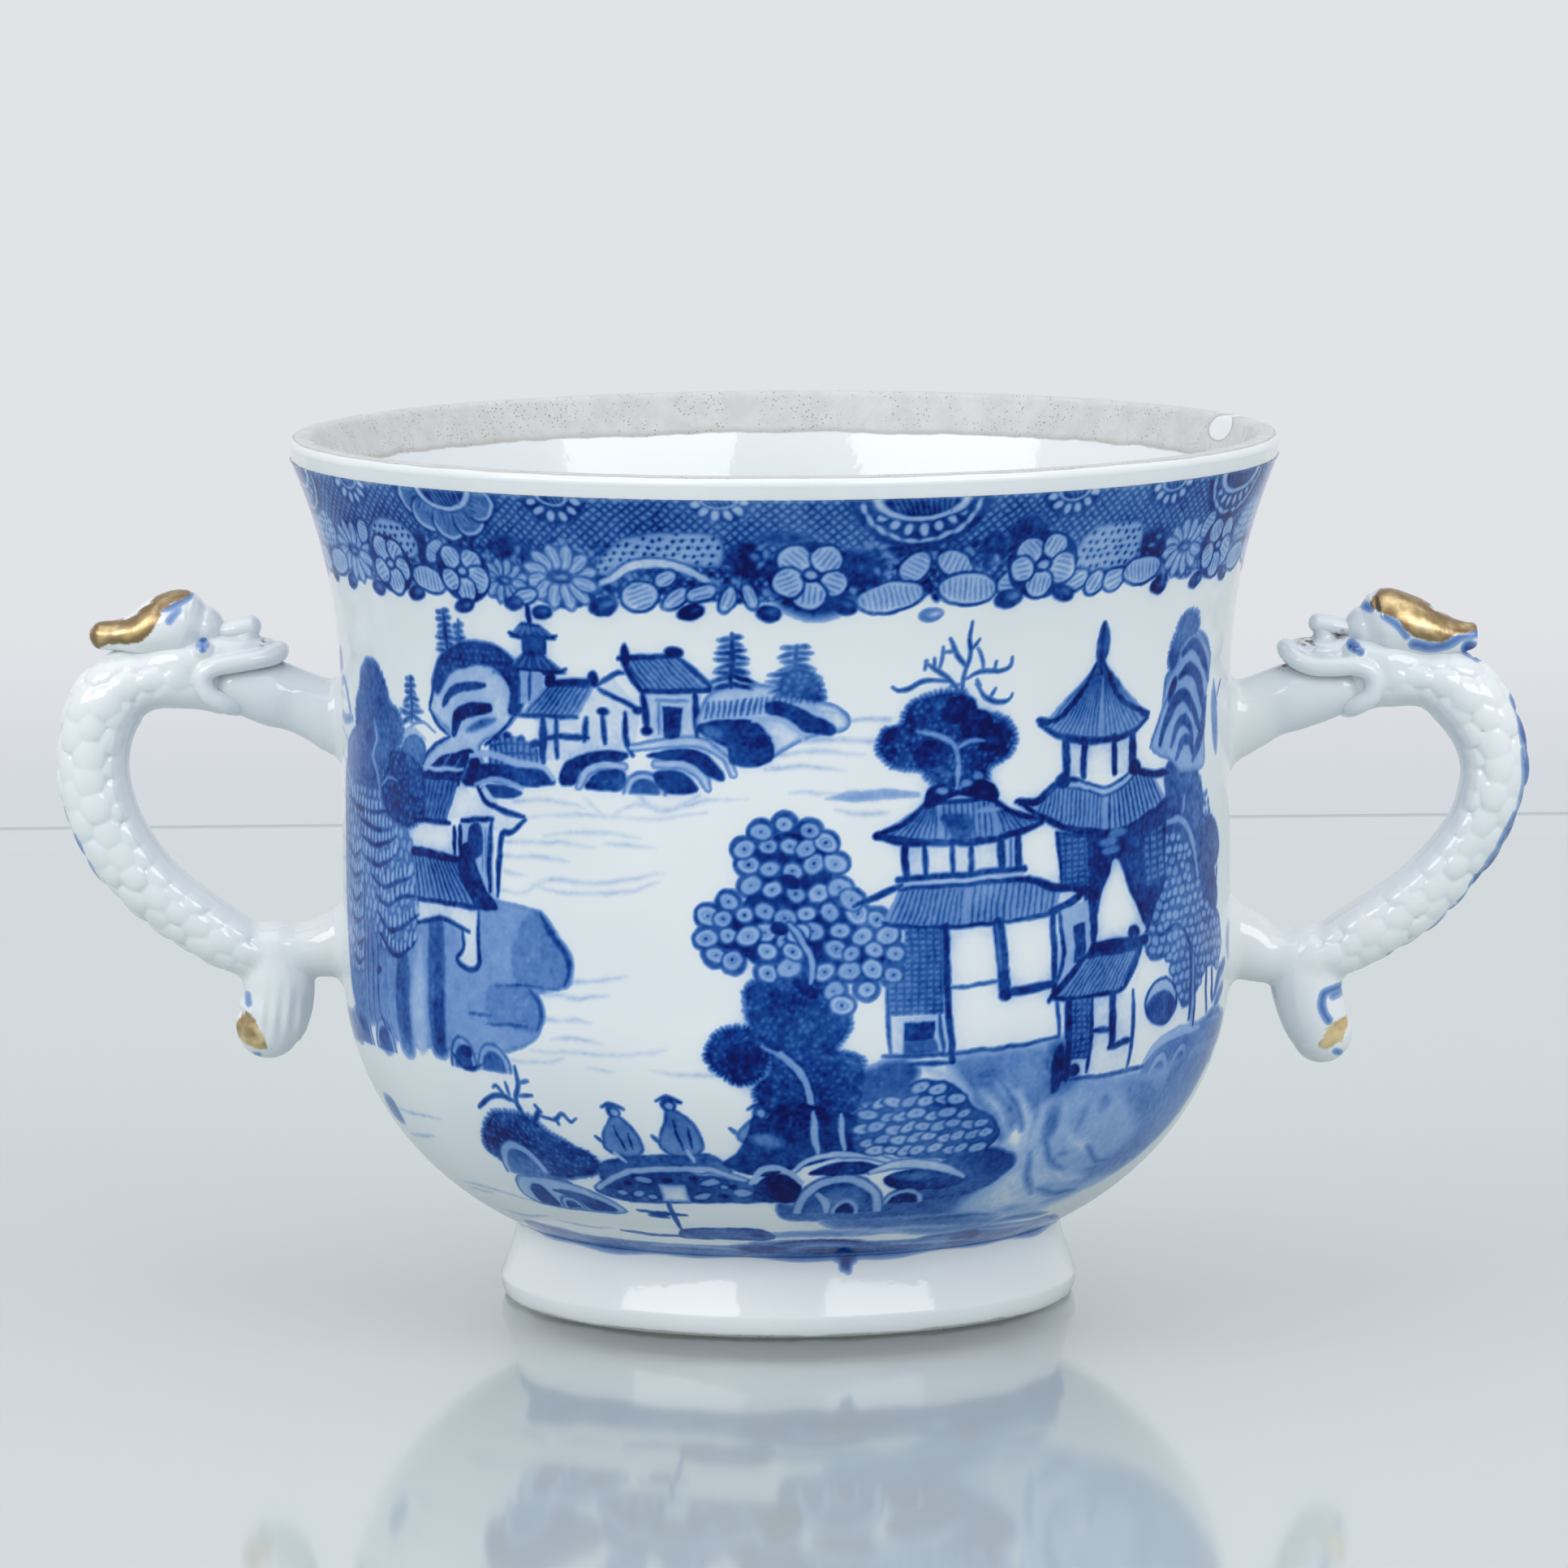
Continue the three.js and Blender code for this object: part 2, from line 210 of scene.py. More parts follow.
def foot_profile():
    """A rounded toe, a hollow splay up to the neck, the seat, and the inside of the ring."""
    splay = FOOT_RADIUS
    toe_round = 0.9
    toe_height = 2.2
    quarter = np.linspace(-math.pi / 2, 0, 14)
    toe = np.stack([splay - toe_round + toe_round * np.cos(quarter), toe_height * (1 + np.sin(quarter))], 1)
    share = np.linspace(0, 1, 40)[1:]
    hollow_radius = FOOT_NECK + (splay - FOOT_NECK) * (1 - share) ** 1.35
    hollow = np.stack([hollow_radius, toe_height + (SEAT_HEIGHT - toe_height) * share], 1)
    bevel_width, ground_width, bevel_height = 2.2, 1.9, 0.15
    inside = [[FOOT_NECK - FOOT_WALL, SEAT_HEIGHT], [splay - toe_round - bevel_width, bevel_height]]
    return np.vstack([toe, hollow, inside, [[splay - toe_round - ground_width, 0.0]]])


def lathe_grid(profile, turns):
    """Points of a profile turned about Z, one row for each point of the profile."""
    angle = np.arange(turns) * 2 * math.pi / turns
    radius, height = profile[:, :1], profile[:, 1:]
    return np.stack(
        np.broadcast_arrays(radius * np.cos(angle), radius * np.sin(angle), height), -1
    )


def turned_solid(name, profile, turns, material, shades):
    """A solid of revolution. Its profile starts and ends on the axis, or else is a closed loop.

    Shades give an attribute's value for each place from the points as columns x, y, z."""
    is_loop = profile[0, 0] > 0
    turned = profile if is_loop else profile[1:-1]
    rows = len(turned)
    bands = rows if is_loop else rows - 1
    points = lathe_grid(turned, turns).reshape(-1, 3)
    r, a = np.meshgrid(np.arange(bands), np.arange(turns), indexing="ij")
    after, up = (r + 1) % rows, (a + 1) % turns
    quads = np.stack([r * turns + a, r * turns + up, after * turns + up, after * turns + a], -1)
    corners, sizes = quads.reshape(-1), np.full(bands * turns, 4)
    if not is_loop:
        points = np.vstack([points, [[0, 0, profile[0, 1]], [0, 0, profile[-1, 1]]]])
        a = np.arange(turns)
        up = (a + 1) % turns
        last_row = (rows - 1) * turns
        first = np.stack([np.full(turns, rows * turns), up, a], 1)
        last = np.stack([np.full(turns, rows * turns + 1), last_row + a, last_row + up], 1)
        corners = np.concatenate([corners, first.reshape(-1), last.reshape(-1)])
        sizes = np.concatenate([sizes, np.full(2 * turns, 3)])
    values = {key: shade(*points.T) for key, shade in shades.items()}
    return mesh_piece(name, points, corners, sizes, material, values)


def drawn(points):
    """Points as they are, or read from a string of them in tenths of a millimetre."""
    if isinstance(points, str):
        return [tuple(float(number) / 10 for number in point.split(",")) for point in points.split()]
    return points


def gap_to(s, t, start, end):
    """Squared distance from places to the line between two points."""
    s0, t0 = start
    ds, dt = end[0] - s0, end[1] - t0
    share = np.clip(((s - s0) * ds + (t - t0) * dt) / (ds * ds + dt * dt + 1e-9), 0, 1)
    return (s - s0 - share * ds) ** 2 + (t - t0 - share * dt) ** 2


def around(s, t, wide, high, angle):
    """The place on an oval round a middle, at an angle of its parameter."""
    return s + wide * math.cos(angle), t + high * math.sin(angle)


class Canvas:
    """Cobalt tone over half the cup's girth. s is millimetres of girth at the upright wall, 0 in front,
    and t is millimetres along the profile, 0 at the foot."""

    def __init__(self, girth, height, fineness):
        self.fineness = fineness
        self.left = -girth / 2
        self.tone = np.zeros((int(height / fineness) + 2, int(girth / fineness) + 2), np.float32)
        self.chance = np.random.default_rng(7)

    def at(self, s, t):
        """Tones between the canvas's points, by weighing the four round each place."""
        x = np.clip((s - self.left) / self.fineness, 0, self.tone.shape[1] - 1.001)
        y = np.clip(t / self.fineness, 0, self.tone.shape[0] - 1.001)
        i, j = y.astype(int), x.astype(int)
        v, u = y - i, x - j
        low = self.tone[i, j] * (1 - u) + self.tone[i, j + 1] * u
        high = self.tone[i + 1, j] * (1 - u) + self.tone[i + 1, j + 1] * u
        return low * (1 - v) + high * v

    def grain(self, scale):
        """Smooth chance values of that scale in millimetres, which meet round the girth."""
        rows, columns = self.tone.shape
        size = (int(rows * self.fineness / scale) + 3, int(columns * self.fineness / scale))
        coarse = self.chance.normal(size=size)
        y = np.arange(rows) * self.fineness / scale
        x = np.arange(columns) * coarse.shape[1] / (columns - 2)
        i, j = y.astype(int), x.astype(int) % coarse.shape[1]
        v, u = (y % 1)[:, None], (x % 1)[None, :]
        v, u = v * v * (3 - 2 * v), u * u * (3 - 2 * u)
        after = (j + 1) % coarse.shape[1]
        low = coarse[i][:, j] * (1 - u) + coarse[i][:, after] * u
        high = coarse[i + 1][:, j] * (1 - u) + coarse[i + 1][:, after] * u
        return low * (1 - v) + high * v

    def settle(self, wander=0.07, unevenness=0.085, bleed=0.22):
        """The painting after firing: lines waver, tone gathers and thins, and a faint tone bleeds out
        round everything painted."""
        rows, columns = self.tone.shape
        s, t = np.meshgrid(self.left + np.arange(columns) * self.fineness, np.arange(rows) * self.fineness)
        aside = wander * (self.grain(1.7) + 0.45 * self.grain(0.6))
        along = wander * (self.grain(1.7) + 0.45 * self.grain(0.6))
        tone = self.at(s + aside, t + along)
        halo = tone
        for step in (1, 2, 4, 7, 11):
            for axis in (0, 1):
                halo = (np.roll(halo, step, axis) + 2 * halo + np.roll(halo, -step, axis)) / 4
        tone = tone + bleed * halo * (1 - tone)
        mottle = 1 + unevenness * (0.8 * self.grain(0.35) + 0.5 * self.grain(1.1) + 1.0 * self.grain(4.0))
        self.tone = np.clip(tone * mottle, 0, 1)

    def window(self, points, margin):
        """The part of the canvas round some points, with the place of each of its cells."""
        low = np.min(points, axis=0)[:2] - margin
        high = np.max(points, axis=0)[:2] + margin
        rows, columns = self.tone.shape
        first = max(int(low[1] / self.fineness), 0)
        last = min(int(high[1] / self.fineness) + 2, rows)
        start = max(int((low[0] - self.left) / self.fineness), 0)
        stop = min(int((high[0] - self.left) / self.fineness) + 2, columns)
        s = self.left + np.arange(start, max(stop, start), dtype=np.float32) * self.fineness
        t = np.arange(first, max(last, first), dtype=np.float32) * self.fineness
        return (slice(first, max(last, first)), slice(start, max(stop, start))), s[None, :], t[:, None]

    def lay(self, part, cover, tone):
        """A tone over what is there, by the share of its cover."""
        under = self.tone[part]
        self.tone[part] = under + (tone - under) * cover

    def deepen(self, part, tone):
        """The darker of the two tones."""
        self.tone[part] = np.maximum(self.tone[part], tone)

    def touch(self, part, cover, tone, cut):
        """The brush's mark, darker than what is there, or in its place if it is cut."""
        if cut:
            self.lay(part, cover, tone)
        else:
            self.deepen(part, cover * tone)

    def ring_gap(self, ring, s, t):
        """Distance inside a closed ring of points, negative outside."""
        gap = np.full(np.broadcast(s, t).shape, 1e9, np.float32)
        inside = np.zeros(gap.shape, bool)
        for (s0, t0), (s1, t1) in zip(ring, np.roll(ring, -1, axis=0)):
            gap = np.minimum(gap, gap_to(s, t, (s0, t0), (s1, t1)))
            if t0 != t1:
                inside ^= ((t0 > t) != (t1 > t)) & (s < s0 + (s1 - s0) * (t - t0) / (t1 - t0))
        return np.where(inside, 1, -1) * np.sqrt(gap)

    def outline(self, corners, smooth):
        """The corners of a closed outline, or points on a smooth line round through them."""
        corners = np.asarray(drawn(corners), float)
        if not smooth:
            return corners
        wrapped = np.vstack([corners[-2:], corners, corners[:3]])
        line = spline(wrapped, 0.5)
        first = np.argmin(np.hypot(*(line - corners[0]).T))
        beyond = first + 1 + np.argmin(np.hypot(*(line[first + 3 :] - corners[0]).T)) + 2
        return line[first:beyond]

    def wash(self, corners, tone, fade_to=None, edge=0.0, soft=0.2, smooth=True):
        """A flat wash in a closed outline, pooled to another tone at its edge, and fading toward its foot."""
        ring = self.outline(corners, smooth)
        part, s, t = self.window(ring, soft + 0.2)
        gap = self.ring_gap(ring, s, t)
        cover = np.clip(gap / soft + 0.5, 0, 1)
        depth = tone
        if fade_to is not None:
            share = (ring[:, 1].max() - t) / (np.ptp(ring[:, 1]) + 1e-9)
            depth = tone + (fade_to - tone) * np.clip(share, 0, 1)
        if edge:
            depth = depth + (edge - depth) * np.exp(-((np.maximum(gap, 0) / 0.3) ** 2))
        self.lay(part, cover, depth)

    def patch(self, corners, tone, **how):
        """A wash with straight sides."""
        self.wash(corners, tone, smooth=False, **how)

    def stroke(self, knots, width, tone, taper=0.5, soft=0.2, cut=False):
        """One pull of the brush along the knots, thinner at both ends. A cut one replaces what it covers."""
        path = spline(knots, 0.45)
        part, s, t = self.window(path, width / 2 + soft)
        length = len(path) - 1
        cover = np.zeros(np.broadcast(s, t).shape, np.float32)
        for k, (start, end) in enumerate(zip(path[:-1], path[1:])):
            gap = np.sqrt(gap_to(s, t, start, end))
            swell = 1 - taper * abs(2 * (k + 0.5) / length - 1) ** 2.5
            cover = np.maximum(cover, np.clip((width * swell / 2 - gap) / soft + 0.5, 0, 1))
        self.touch(part, cover, tone, cut)

    def wipe(self, knots, width, tone, **how):
        """A stroke that wipes back to its tone."""
        self.stroke(knots, width, tone, cut=True, **how)

    def strokes(self, width, tone, *lines, **how):
        for knots in lines:
            self.stroke(knots, width, tone, **how)

    def wipes(self, width, tone, *lines, **how):
        self.strokes(width, tone, *lines, cut=True, **how)

    def dab(self, s0, t0, long, wide, lean, tone, cut=False, soft=0.2):
        """An oval touch of the brush, its long way leaning that many degrees from level."""
        part, s, t = self.window([(s0, t0)], max(long, wide) / 2 + soft)
        a = math.radians(lean)
        u = (s - s0) * math.cos(a) + (t - t0) * math.sin(a)
        v = (t - t0) * math.cos(a) - (s - s0) * math.sin(a)
        k = np.sqrt((2 * u / long) ** 2 + (2 * v / wide) ** 2)
        cover = np.clip((1 - k) * min(long, wide) / 2 / soft + 0.5, 0, 1)
        self.touch(part, cover, tone, cut)

    def dabs(self, long, wide, lean, tone, places, **how):
        for s0, t0 in drawn(places):
            self.dab(s0, t0, long, wide, lean, tone, **how)

    def spread(self, corners, pitch, inset=0.0):
        """Staggered, slightly shaken places inside an outline."""
        ring = self.outline(corners, True)
        low, high = ring.min(0), ring.max(0)
        rows = np.arange(low[1], high[1], pitch * 0.86)
        places = []
        for k, t in enumerate(rows):
            row = np.arange(low[0] + (k % 2) * pitch / 2, high[0], pitch)
            places.append(np.stack([row, np.full(len(row), t)], 1))
        places = np.vstack(places)
        places = places + self.chance.uniform(-0.16, 0.16, places.shape) * pitch
        gap = self.ring_gap(ring, places[:, 0], places[:, 1])
        return places[gap > inset]

    def foliage(self, corners, tone=0.85, pale=0.45, size=0.55, edge=0.5):
        """A clump of leaves: a dark mass of dabs, its skirt ragged with short ones, some left pale."""
        ring = self.outline(corners, True)
        self.wash(corners, tone * 0.85, edge=tone)
        middle = ring.mean(0)
        for s, t in ring:
            lean = math.degrees(math.atan2(t - middle[1], s - middle[0]))
            self.dab(s, t, size * 1.7, size * 0.8, lean + self.chance.uniform(-25, 25), tone * edge + 0.2)
        for s, t in self.spread(corners, size * 1.35, size * 0.3):
            if self.chance.random() < 0.5:
                self.dab(s, t, size * 0.85, size * 0.62, self.chance.uniform(0, 180), pale + 0.04, cut=True)
            else:
                self.dab(s, t, size, size * 0.7, self.chance.uniform(0, 180), tone)

    def pebbled(self, corners, pitch, long, wide, pale=0.22, ground=0.75, lean=0, rim=0.0, eye=0.0):
        """A mass of pale ovals on a dark ground, as leaves or blossoms seen from above."""
        self.wash(corners, ground, edge=min(ground + 0.1, 1))
        for s, t in self.spread(corners, pitch, wide * 0.3):
            size = self.chance.uniform(0.85, 1.15)
            tip = lean + self.chance.uniform(-18, 18)
            if rim:
                self.dab(s, t, long * size * 1.3, wide * size * 1.35, tip, rim, cut=True)
            self.dab(s, t, long * size, wide * size, tip, pale + self.chance.uniform(-0.05, 0.08), cut=True)
            if eye:
                self.dab(s, t, 0.5, 0.4, 0, eye)

    def blossom(self, s, t, radius, ground, ring, heart):
        """A round blossom: a dark rim, a pale ring, and a fainter heart with a dot."""
        lean = 30 * math.sin(7 * s + 3 * t)
        self.dab(s, t, 2.1 * radius + 0.5, 1.66 * radius + 0.5, lean, ground, cut=True)
        self.dab(s, t, 2.1 * radius, 1.66 * radius, lean, ring, cut=True)
        self.dab(s, t, radius * 1.25, radius * 0.95, lean, heart * 0.5)
        self.dab(s, t, radius * 0.8, radius * 0.55, lean, ring, cut=True)
        self.dab(s, t, 0.42, 0.36, 0, heart + 0.15)

    def tiles(self, top, bottom, count, ground=0.35, tone=0.72, width=0.38, edge=0.85, edge_width=0.4):
        """A tiled slope between its upper and lower line, with a stroke down it for each row of tiles."""
        top, bottom = spline(top, 0.5), spline(bottom, 0.5)
        self.wash(np.vstack([top, bottom[::-1]]), ground * 0.7, smooth=False)
        share = np.linspace(0, 1, count + 2)[1:-1]
        ends = []
        for line in (top, bottom):
            run = np.concatenate([[0], np.cumsum(np.hypot(*np.diff(line, axis=0).T))])
            ends.append(np.stack([np.interp(share * run[-1], run, line[:, k]) for k in (0, 1)], 1))
        for start, end in zip(*ends):
            self.stroke([start, end], width * 0.8, tone * self.chance.uniform(0.8, 1), taper=0.2, soft=0.2)
        self.stroke(top, edge_width, edge, taper=0.1)
        self.stroke(bottom, edge_width, edge, taper=0.1)

    def lattice(self, corners, pitch_s, pitch_t, ground, tone, turn=0.0, line=0.3):
        """Two families of lines, turned by some degrees, over a washed ground."""
        ring = self.outline(corners, False)
        part, s, t = self.window(ring, 0.4)
        cover = np.clip(self.ring_gap(ring, s, t) / 0.2 + 0.5, 0, 1)
        a = math.radians(turn)
        u, v = s * math.cos(a) + t * math.sin(a), t * math.cos(a) - s * math.sin(a)
        off_u = np.abs(u / pitch_s - np.round(u / pitch_s)) * pitch_s
        off_v = np.abs(v / pitch_t - np.round(v / pitch_t)) * pitch_t
        lines = np.clip((line / 2 - np.minimum(off_u, off_v)) / 0.22 + 0.5, 0, 1)
        self.lay(part, cover, ground + (tone - ground) * lines)

    def arch(self, s0, t0, long, high, dark=0.85, pale=0.12, band=0.75, fade=0.35, rim=0.6):
        """A rounded rock: a thin rim, a pale band inside it, and a dark hollow that thins downward."""
        part, s, t = self.window([(s0 - long / 2, t0), (s0 + long / 2, t0 + high)], 0.6)
        a, b = long / 2, high
        k = np.sqrt(((s - s0) / a) ** 2 + ((t - t0) / b) ** 2)
        size = min(a, b)
        over = np.clip((t - t0) / 0.25 + 0.5, 0, 1)
        gap = (1 - k) * size
        body = np.clip(gap / 0.2 + 0.5, 0, 1) * over
        self.lay(part, body, pale)
        hollow = np.clip((gap - band) / 0.25 + 0.5, 0, 1) * over
        height = np.clip((t - t0) / b, 0, 1)
        self.lay(part, hollow, dark - fade * (1 - height))
        line = np.clip((0.17 - np.abs(gap)) / 0.2 + 0.5, 0, 1) * over
        self.deepen(part, line * rim)

    def leaf(self, s0, t0, long, wide, lean, pale=0.14, hatch=0.5, rim=0.85, along=False):
        """A petal or leaf: a dark rim, a pale body, and fine hatching across or along it."""
        a = math.radians(lean)
        u, v = np.array([math.cos(a), math.sin(a)]), np.array([-math.sin(a), math.cos(a)])
        self.dab(s0, t0, long + 0.55, wide + 0.55, lean, rim, cut=True)
        self.dab(s0, t0, long, wide, lean, pale, cut=True)
        middle = np.array([s0, t0])
        way, across, reach, width = (v, u, wide, long) if along else (u, v, long, wide)
        count = max(2, int(reach / 0.56))
        for k in (np.arange(count) + 0.5) / count - 0.5:
            half = width * 0.36 * math.sqrt(max(1 - 4 * k * k, 0))
            start = middle + way * k * reach * 0.92 - across * half + u * 0.15
            end = middle + way * k * reach * 0.92 + across * half - u * 0.15
            self.stroke([start, end], 0.24, hatch * self.chance.uniform(0.8, 1.1), taper=0.5)


def painted_panel(index, canvas, material):
    """One stave of the painted wall: a fine grid outside, its back a flat chord hidden in the wall.

    The place at girth angle a and distance t along the profile is the profile's radius and height
    there, turned to a."""
    turn = 2 * math.pi / PANELS
    middle = -math.pi / 2 + index * turn
    spacing = FRONT_GRID if math.sin(middle) < -0.4 else SIDE_GRID if math.sin(middle) < 0.1 else BACK_GRID
    profile, along = evenly(outside_profile(), spacing)
    columns = int(round(WALL_RADIUS * turn / spacing)) + 1
    angle = middle + np.linspace(-turn / 2, turn / 2, columns)
    rows = len(profile)
    outward = outward_of(profile)
    direction = np.stack([np.cos(angle), np.sin(angle)], 1)
    outer = np.empty((rows, columns, 3))
    outer[..., :2] = profile[:, 0, None, None] * direction
    outer[..., 2] = profile[:, 1, None]
    normal = np.empty_like(outer)
    normal[..., :2] = outward[:, 0, None, None] * direction
    normal[..., 2] = outward[:, 1, None]
    back = outer - normal * GLAZE_DEPTH * 1.5
    back[0, :, 2] = SEAT_HEIGHT
    rim = np.concatenate(
        [
            np.arange(columns),
            np.arange(1, rows) * columns + columns - 1,
            (rows - 1) * columns + np.arange(columns - 2, -1, -1),
            np.arange(rows - 2, 0, -1) * columns,
        ]
    )
    count = rows * columns
    loop = np.arange(len(rim))
    after = (loop + 1) % len(rim)
    r, c = np.meshgrid(np.arange(rows - 1), np.arange(columns - 1), indexing="ij")
    face = r * columns + c
    outside = np.stack([face, face + 1, face + columns + 1, face + columns], -1).reshape(-1, 4)
    edge = np.stack([rim, count + loop, count + after, rim[after]], 1)
    left = count + np.concatenate([[0], len(rim) - np.arange(1, rows)])
    right = count + columns - 1 + np.arange(rows)
    ladder = np.stack([left[1:-2], left[2:-1], right[2:-1], right[1:-2]], 1)
    bottom = np.concatenate([count + np.arange(columns), [right[1], left[1]]])[::-1]
    top = np.concatenate([count + columns + rows - 2 + np.arange(columns), [left[-2], right[-2]]])[::-1]
    points = np.vstack([outer.reshape(-1, 3), back.reshape(-1, 3)[rim]])
    corners = np.concatenate([outside.reshape(-1), edge.reshape(-1), ladder.reshape(-1), bottom, top])
    sizes = np.concatenate(
        [np.full(len(outside) + len(edge) + len(ladder), 4), [len(bottom), len(top)]]
    )
    half = math.pi * WALL_RADIUS
    girth = (angle + math.pi / 2) * WALL_RADIUS
    s = (girth + half / 2) % half - half / 2
    tone = canvas.at(*np.meshgrid(s, along))
    values = np.concatenate([tone.reshape(-1), np.zeros(len(rim))])
    piece = mesh_piece(f"painted_wall_{index + 1}", points, corners, sizes, material, {"cobalt": values})
    normals = np.vstack([normal.reshape(-1, 3), normal.reshape(-1, 3)[rim]])
    piece.data.normals_split_custom_set_from_vertices(normals.astype(np.float32))
    flat = np.stack(np.meshgrid(np.linspace(0.004, 0.996, columns), np.linspace(0.004, 0.996, rows)), -1)
    uv_points = np.vstack([flat.reshape(-1, 2), flat.reshape(-1, 2)[rim]])
    layer = piece.data.uv_layers.new(name="OFBake")
    layer.data.foreach_set("uv", uv_points[corners].astype(np.float32).ravel())
    return piece


def spline(knots, spacing):
    """A smooth line through the knots (rows of numbers), by Catmull and Rom's cubic, with points about
    that far apart in the first two numbers."""
    knots = np.asarray(drawn(knots), float)
    padded = np.vstack([2 * knots[0] - knots[1], knots, 2 * knots[-1] - knots[-2]])
    pieces = []
    for before, start, end, after in zip(padded, padded[1:], padded[2:], padded[3:]):
        steps = max(2, int(math.ceil(np.hypot(*(end - start)[:2]) / spacing)))
        u = np.linspace(0, 1, steps, endpoint=False)[:, None]
        pieces.append(
            0.5
            * (
                2 * start
                + (end - before) * u
                + (2 * before - 5 * start + 4 * end - after) * u**2
                + (3 * start - before - 3 * end + after) * u**3
            )
        )
    return np.vstack([*pieces, knots[-1:]])


class Clay:
    """A block of space in millimetres, its grid planes, and fields of distance over it."""

    def __init__(self, low, high, fineness):
        self.axes = [np.arange(a, b + fineness, fineness) for a, b in zip(low, high)]
        self.x, self.y, self.z = np.meshgrid(*self.axes, indexing="ij", sparse=True)
        self.shape = tuple(len(a) for a in self.axes)


def nearest_on_path(x, z, path):
    """For places in the handle's plane, the nearest place on a path of x, z, depth and width.

    Gives the distance along the path, the offset to its left, the overshoot past its ends, and the
    depth and width there."""
    start, end = path[:-1], path[1:]
    step = end[:, :2] - start[:, :2]
    length = np.hypot(*step.T)
    run = np.concatenate([[0], np.cumsum(length)])
    best = np.full(x.shape, np.inf)
    found = [np.zeros(x.shape) for _ in range(5)]
    for k in range(len(start)):
        px, pz = x - start[k, 0], z - start[k, 1]
        ux, uz = step[k] / length[k]
        along = px * ux + pz * uz
        held = np.clip(along, 0, length[k])
        over = along - held
        if k > 0:
            over = np.maximum(over, 0)
        if k < len(start) - 1:
            over = np.minimum(over, 0)
        ex, ez = px - held * ux, pz - held * uz
        gap = ex**2 + ez**2
        near = gap < best
        best = np.where(near, gap, best)
        share = held / length[k]
        side = px * -uz + pz * ux
        size = start[k, 2:] + (end[k, 2:] - start[k, 2:]) * share[..., None]
        if 0 < k < len(start) - 1:
            offset = np.sign(side) * np.sqrt(gap)
        else:
            offset = side
        for value, new in zip(found, (run[k] + held, offset, over, size[..., 0], size[..., 1])):
            value[near] = new[near]
    return found


def limb(clay, stations, relief=None):
    """Distance to an oval limb along stations of x, z, depth and width, with rounded ends.

    For the oval's radii a and b, k is the length of (offset/a, overshoot/a, y/b), and the distance is
    about k (k - 1) over the length of k's slope."""
    path = spline(stations, 0.6)
    plane_x, plane_z = np.meshgrid(clay.axes[0], clay.axes[2], indexing="ij")
    along, offset, over, depth, width = nearest_on_path(plane_x, plane_z, path)
    a, b = depth[:, None, :] / 2, width[:, None, :] / 2
    n, e, y = offset[:, None, :], over[:, None, :], clay.y
    k = np.sqrt((n / a) ** 2 + (e / a) ** 2 + (y / b) ** 2) + 1e-6
    slope = np.sqrt((n / a**2) ** 2 + (e / a**2) ** 2 + (y / b**2) ** 2) + 1e-6
    field = k * (k - 1) / slope
    if relief is not None:
        field = field - relief(along[:, None, :], np.arctan2(np.abs(y) / b, n / a))
    return field


def ball(clay, middle, radii):
    """Distance to an ellipsoid, as for a limb's section."""
    parts = [(axis - m) / r for axis, m, r in zip((clay.x, clay.y, clay.z), middle, radii)]
    k = np.sqrt(sum(p**2 for p in parts)) + 1e-6
    slope = np.sqrt(sum((p / r) ** 2 for p, r in zip(parts, radii))) + 1e-6
    return k * (k - 1) / slope


def rope(clay, knots, radius):
    """Distance to a round rope along a space curve of x, z, y and its mirror image in y."""
    path = spline(knots, 0.5)
    reach = 2.5
    near_x = slice(*np.searchsorted(clay.axes[0], [path[:, 0].min() - reach, path[:, 0].max() + reach]))
    near_z = slice(*np.searchsorted(clay.axes[2], [path[:, 1].min() - reach, path[:, 1].max() + reach]))
    x, y, z = clay.x[near_x], np.abs(clay.y), clay.z[..., near_z]
    gaps = np.full((x.shape[0], y.shape[1], z.shape[2]), reach**2)
    for start, end in zip(path[:-1], path[1:]):
        step = end - start
        px, pz, py = x - start[0], z - start[1], y - start[2]
        share = np.clip((px * step[0] + pz * step[1] + py * step[2]) / (step @ step), 0, 1)
        gap = (px - share * step[0]) ** 2 + (pz - share * step[1]) ** 2 + (py - share * step[2]) ** 2
        gaps = np.minimum(gaps, gap)
    field = np.full(clay.shape, reach)
    field[near_x, :, near_z] = np.sqrt(gaps)
    return field - radius


def pressed(first, second, blend):
    """Two fields run together: the lower of them, lowered further where they are within the blend."""
    near = np.maximum(blend - np.abs(first - second), 0) / blend
    return np.minimum(first, second) - near**2 * blend / 4


def skirt(arm, ground, blend, bury):
    """An arm with a collar of slip that runs out over the ground it is stuck to."""
    joined = pressed(arm, ground + 0.02, blend)
    return np.maximum(np.maximum(joined, arm - blend), -(ground + bury))


def wall_distance(clay, set_off):
    """Distance outside the bowl's wall, close to it, for clay that is then moved by the set-off."""
    profile = outside_profile()
    radius = np.interp(clay.z + set_off[2], profile[:, 1], profile[:, 0])
    return np.sqrt((clay.x + set_off[0]) ** 2 + clay.y**2) - radius


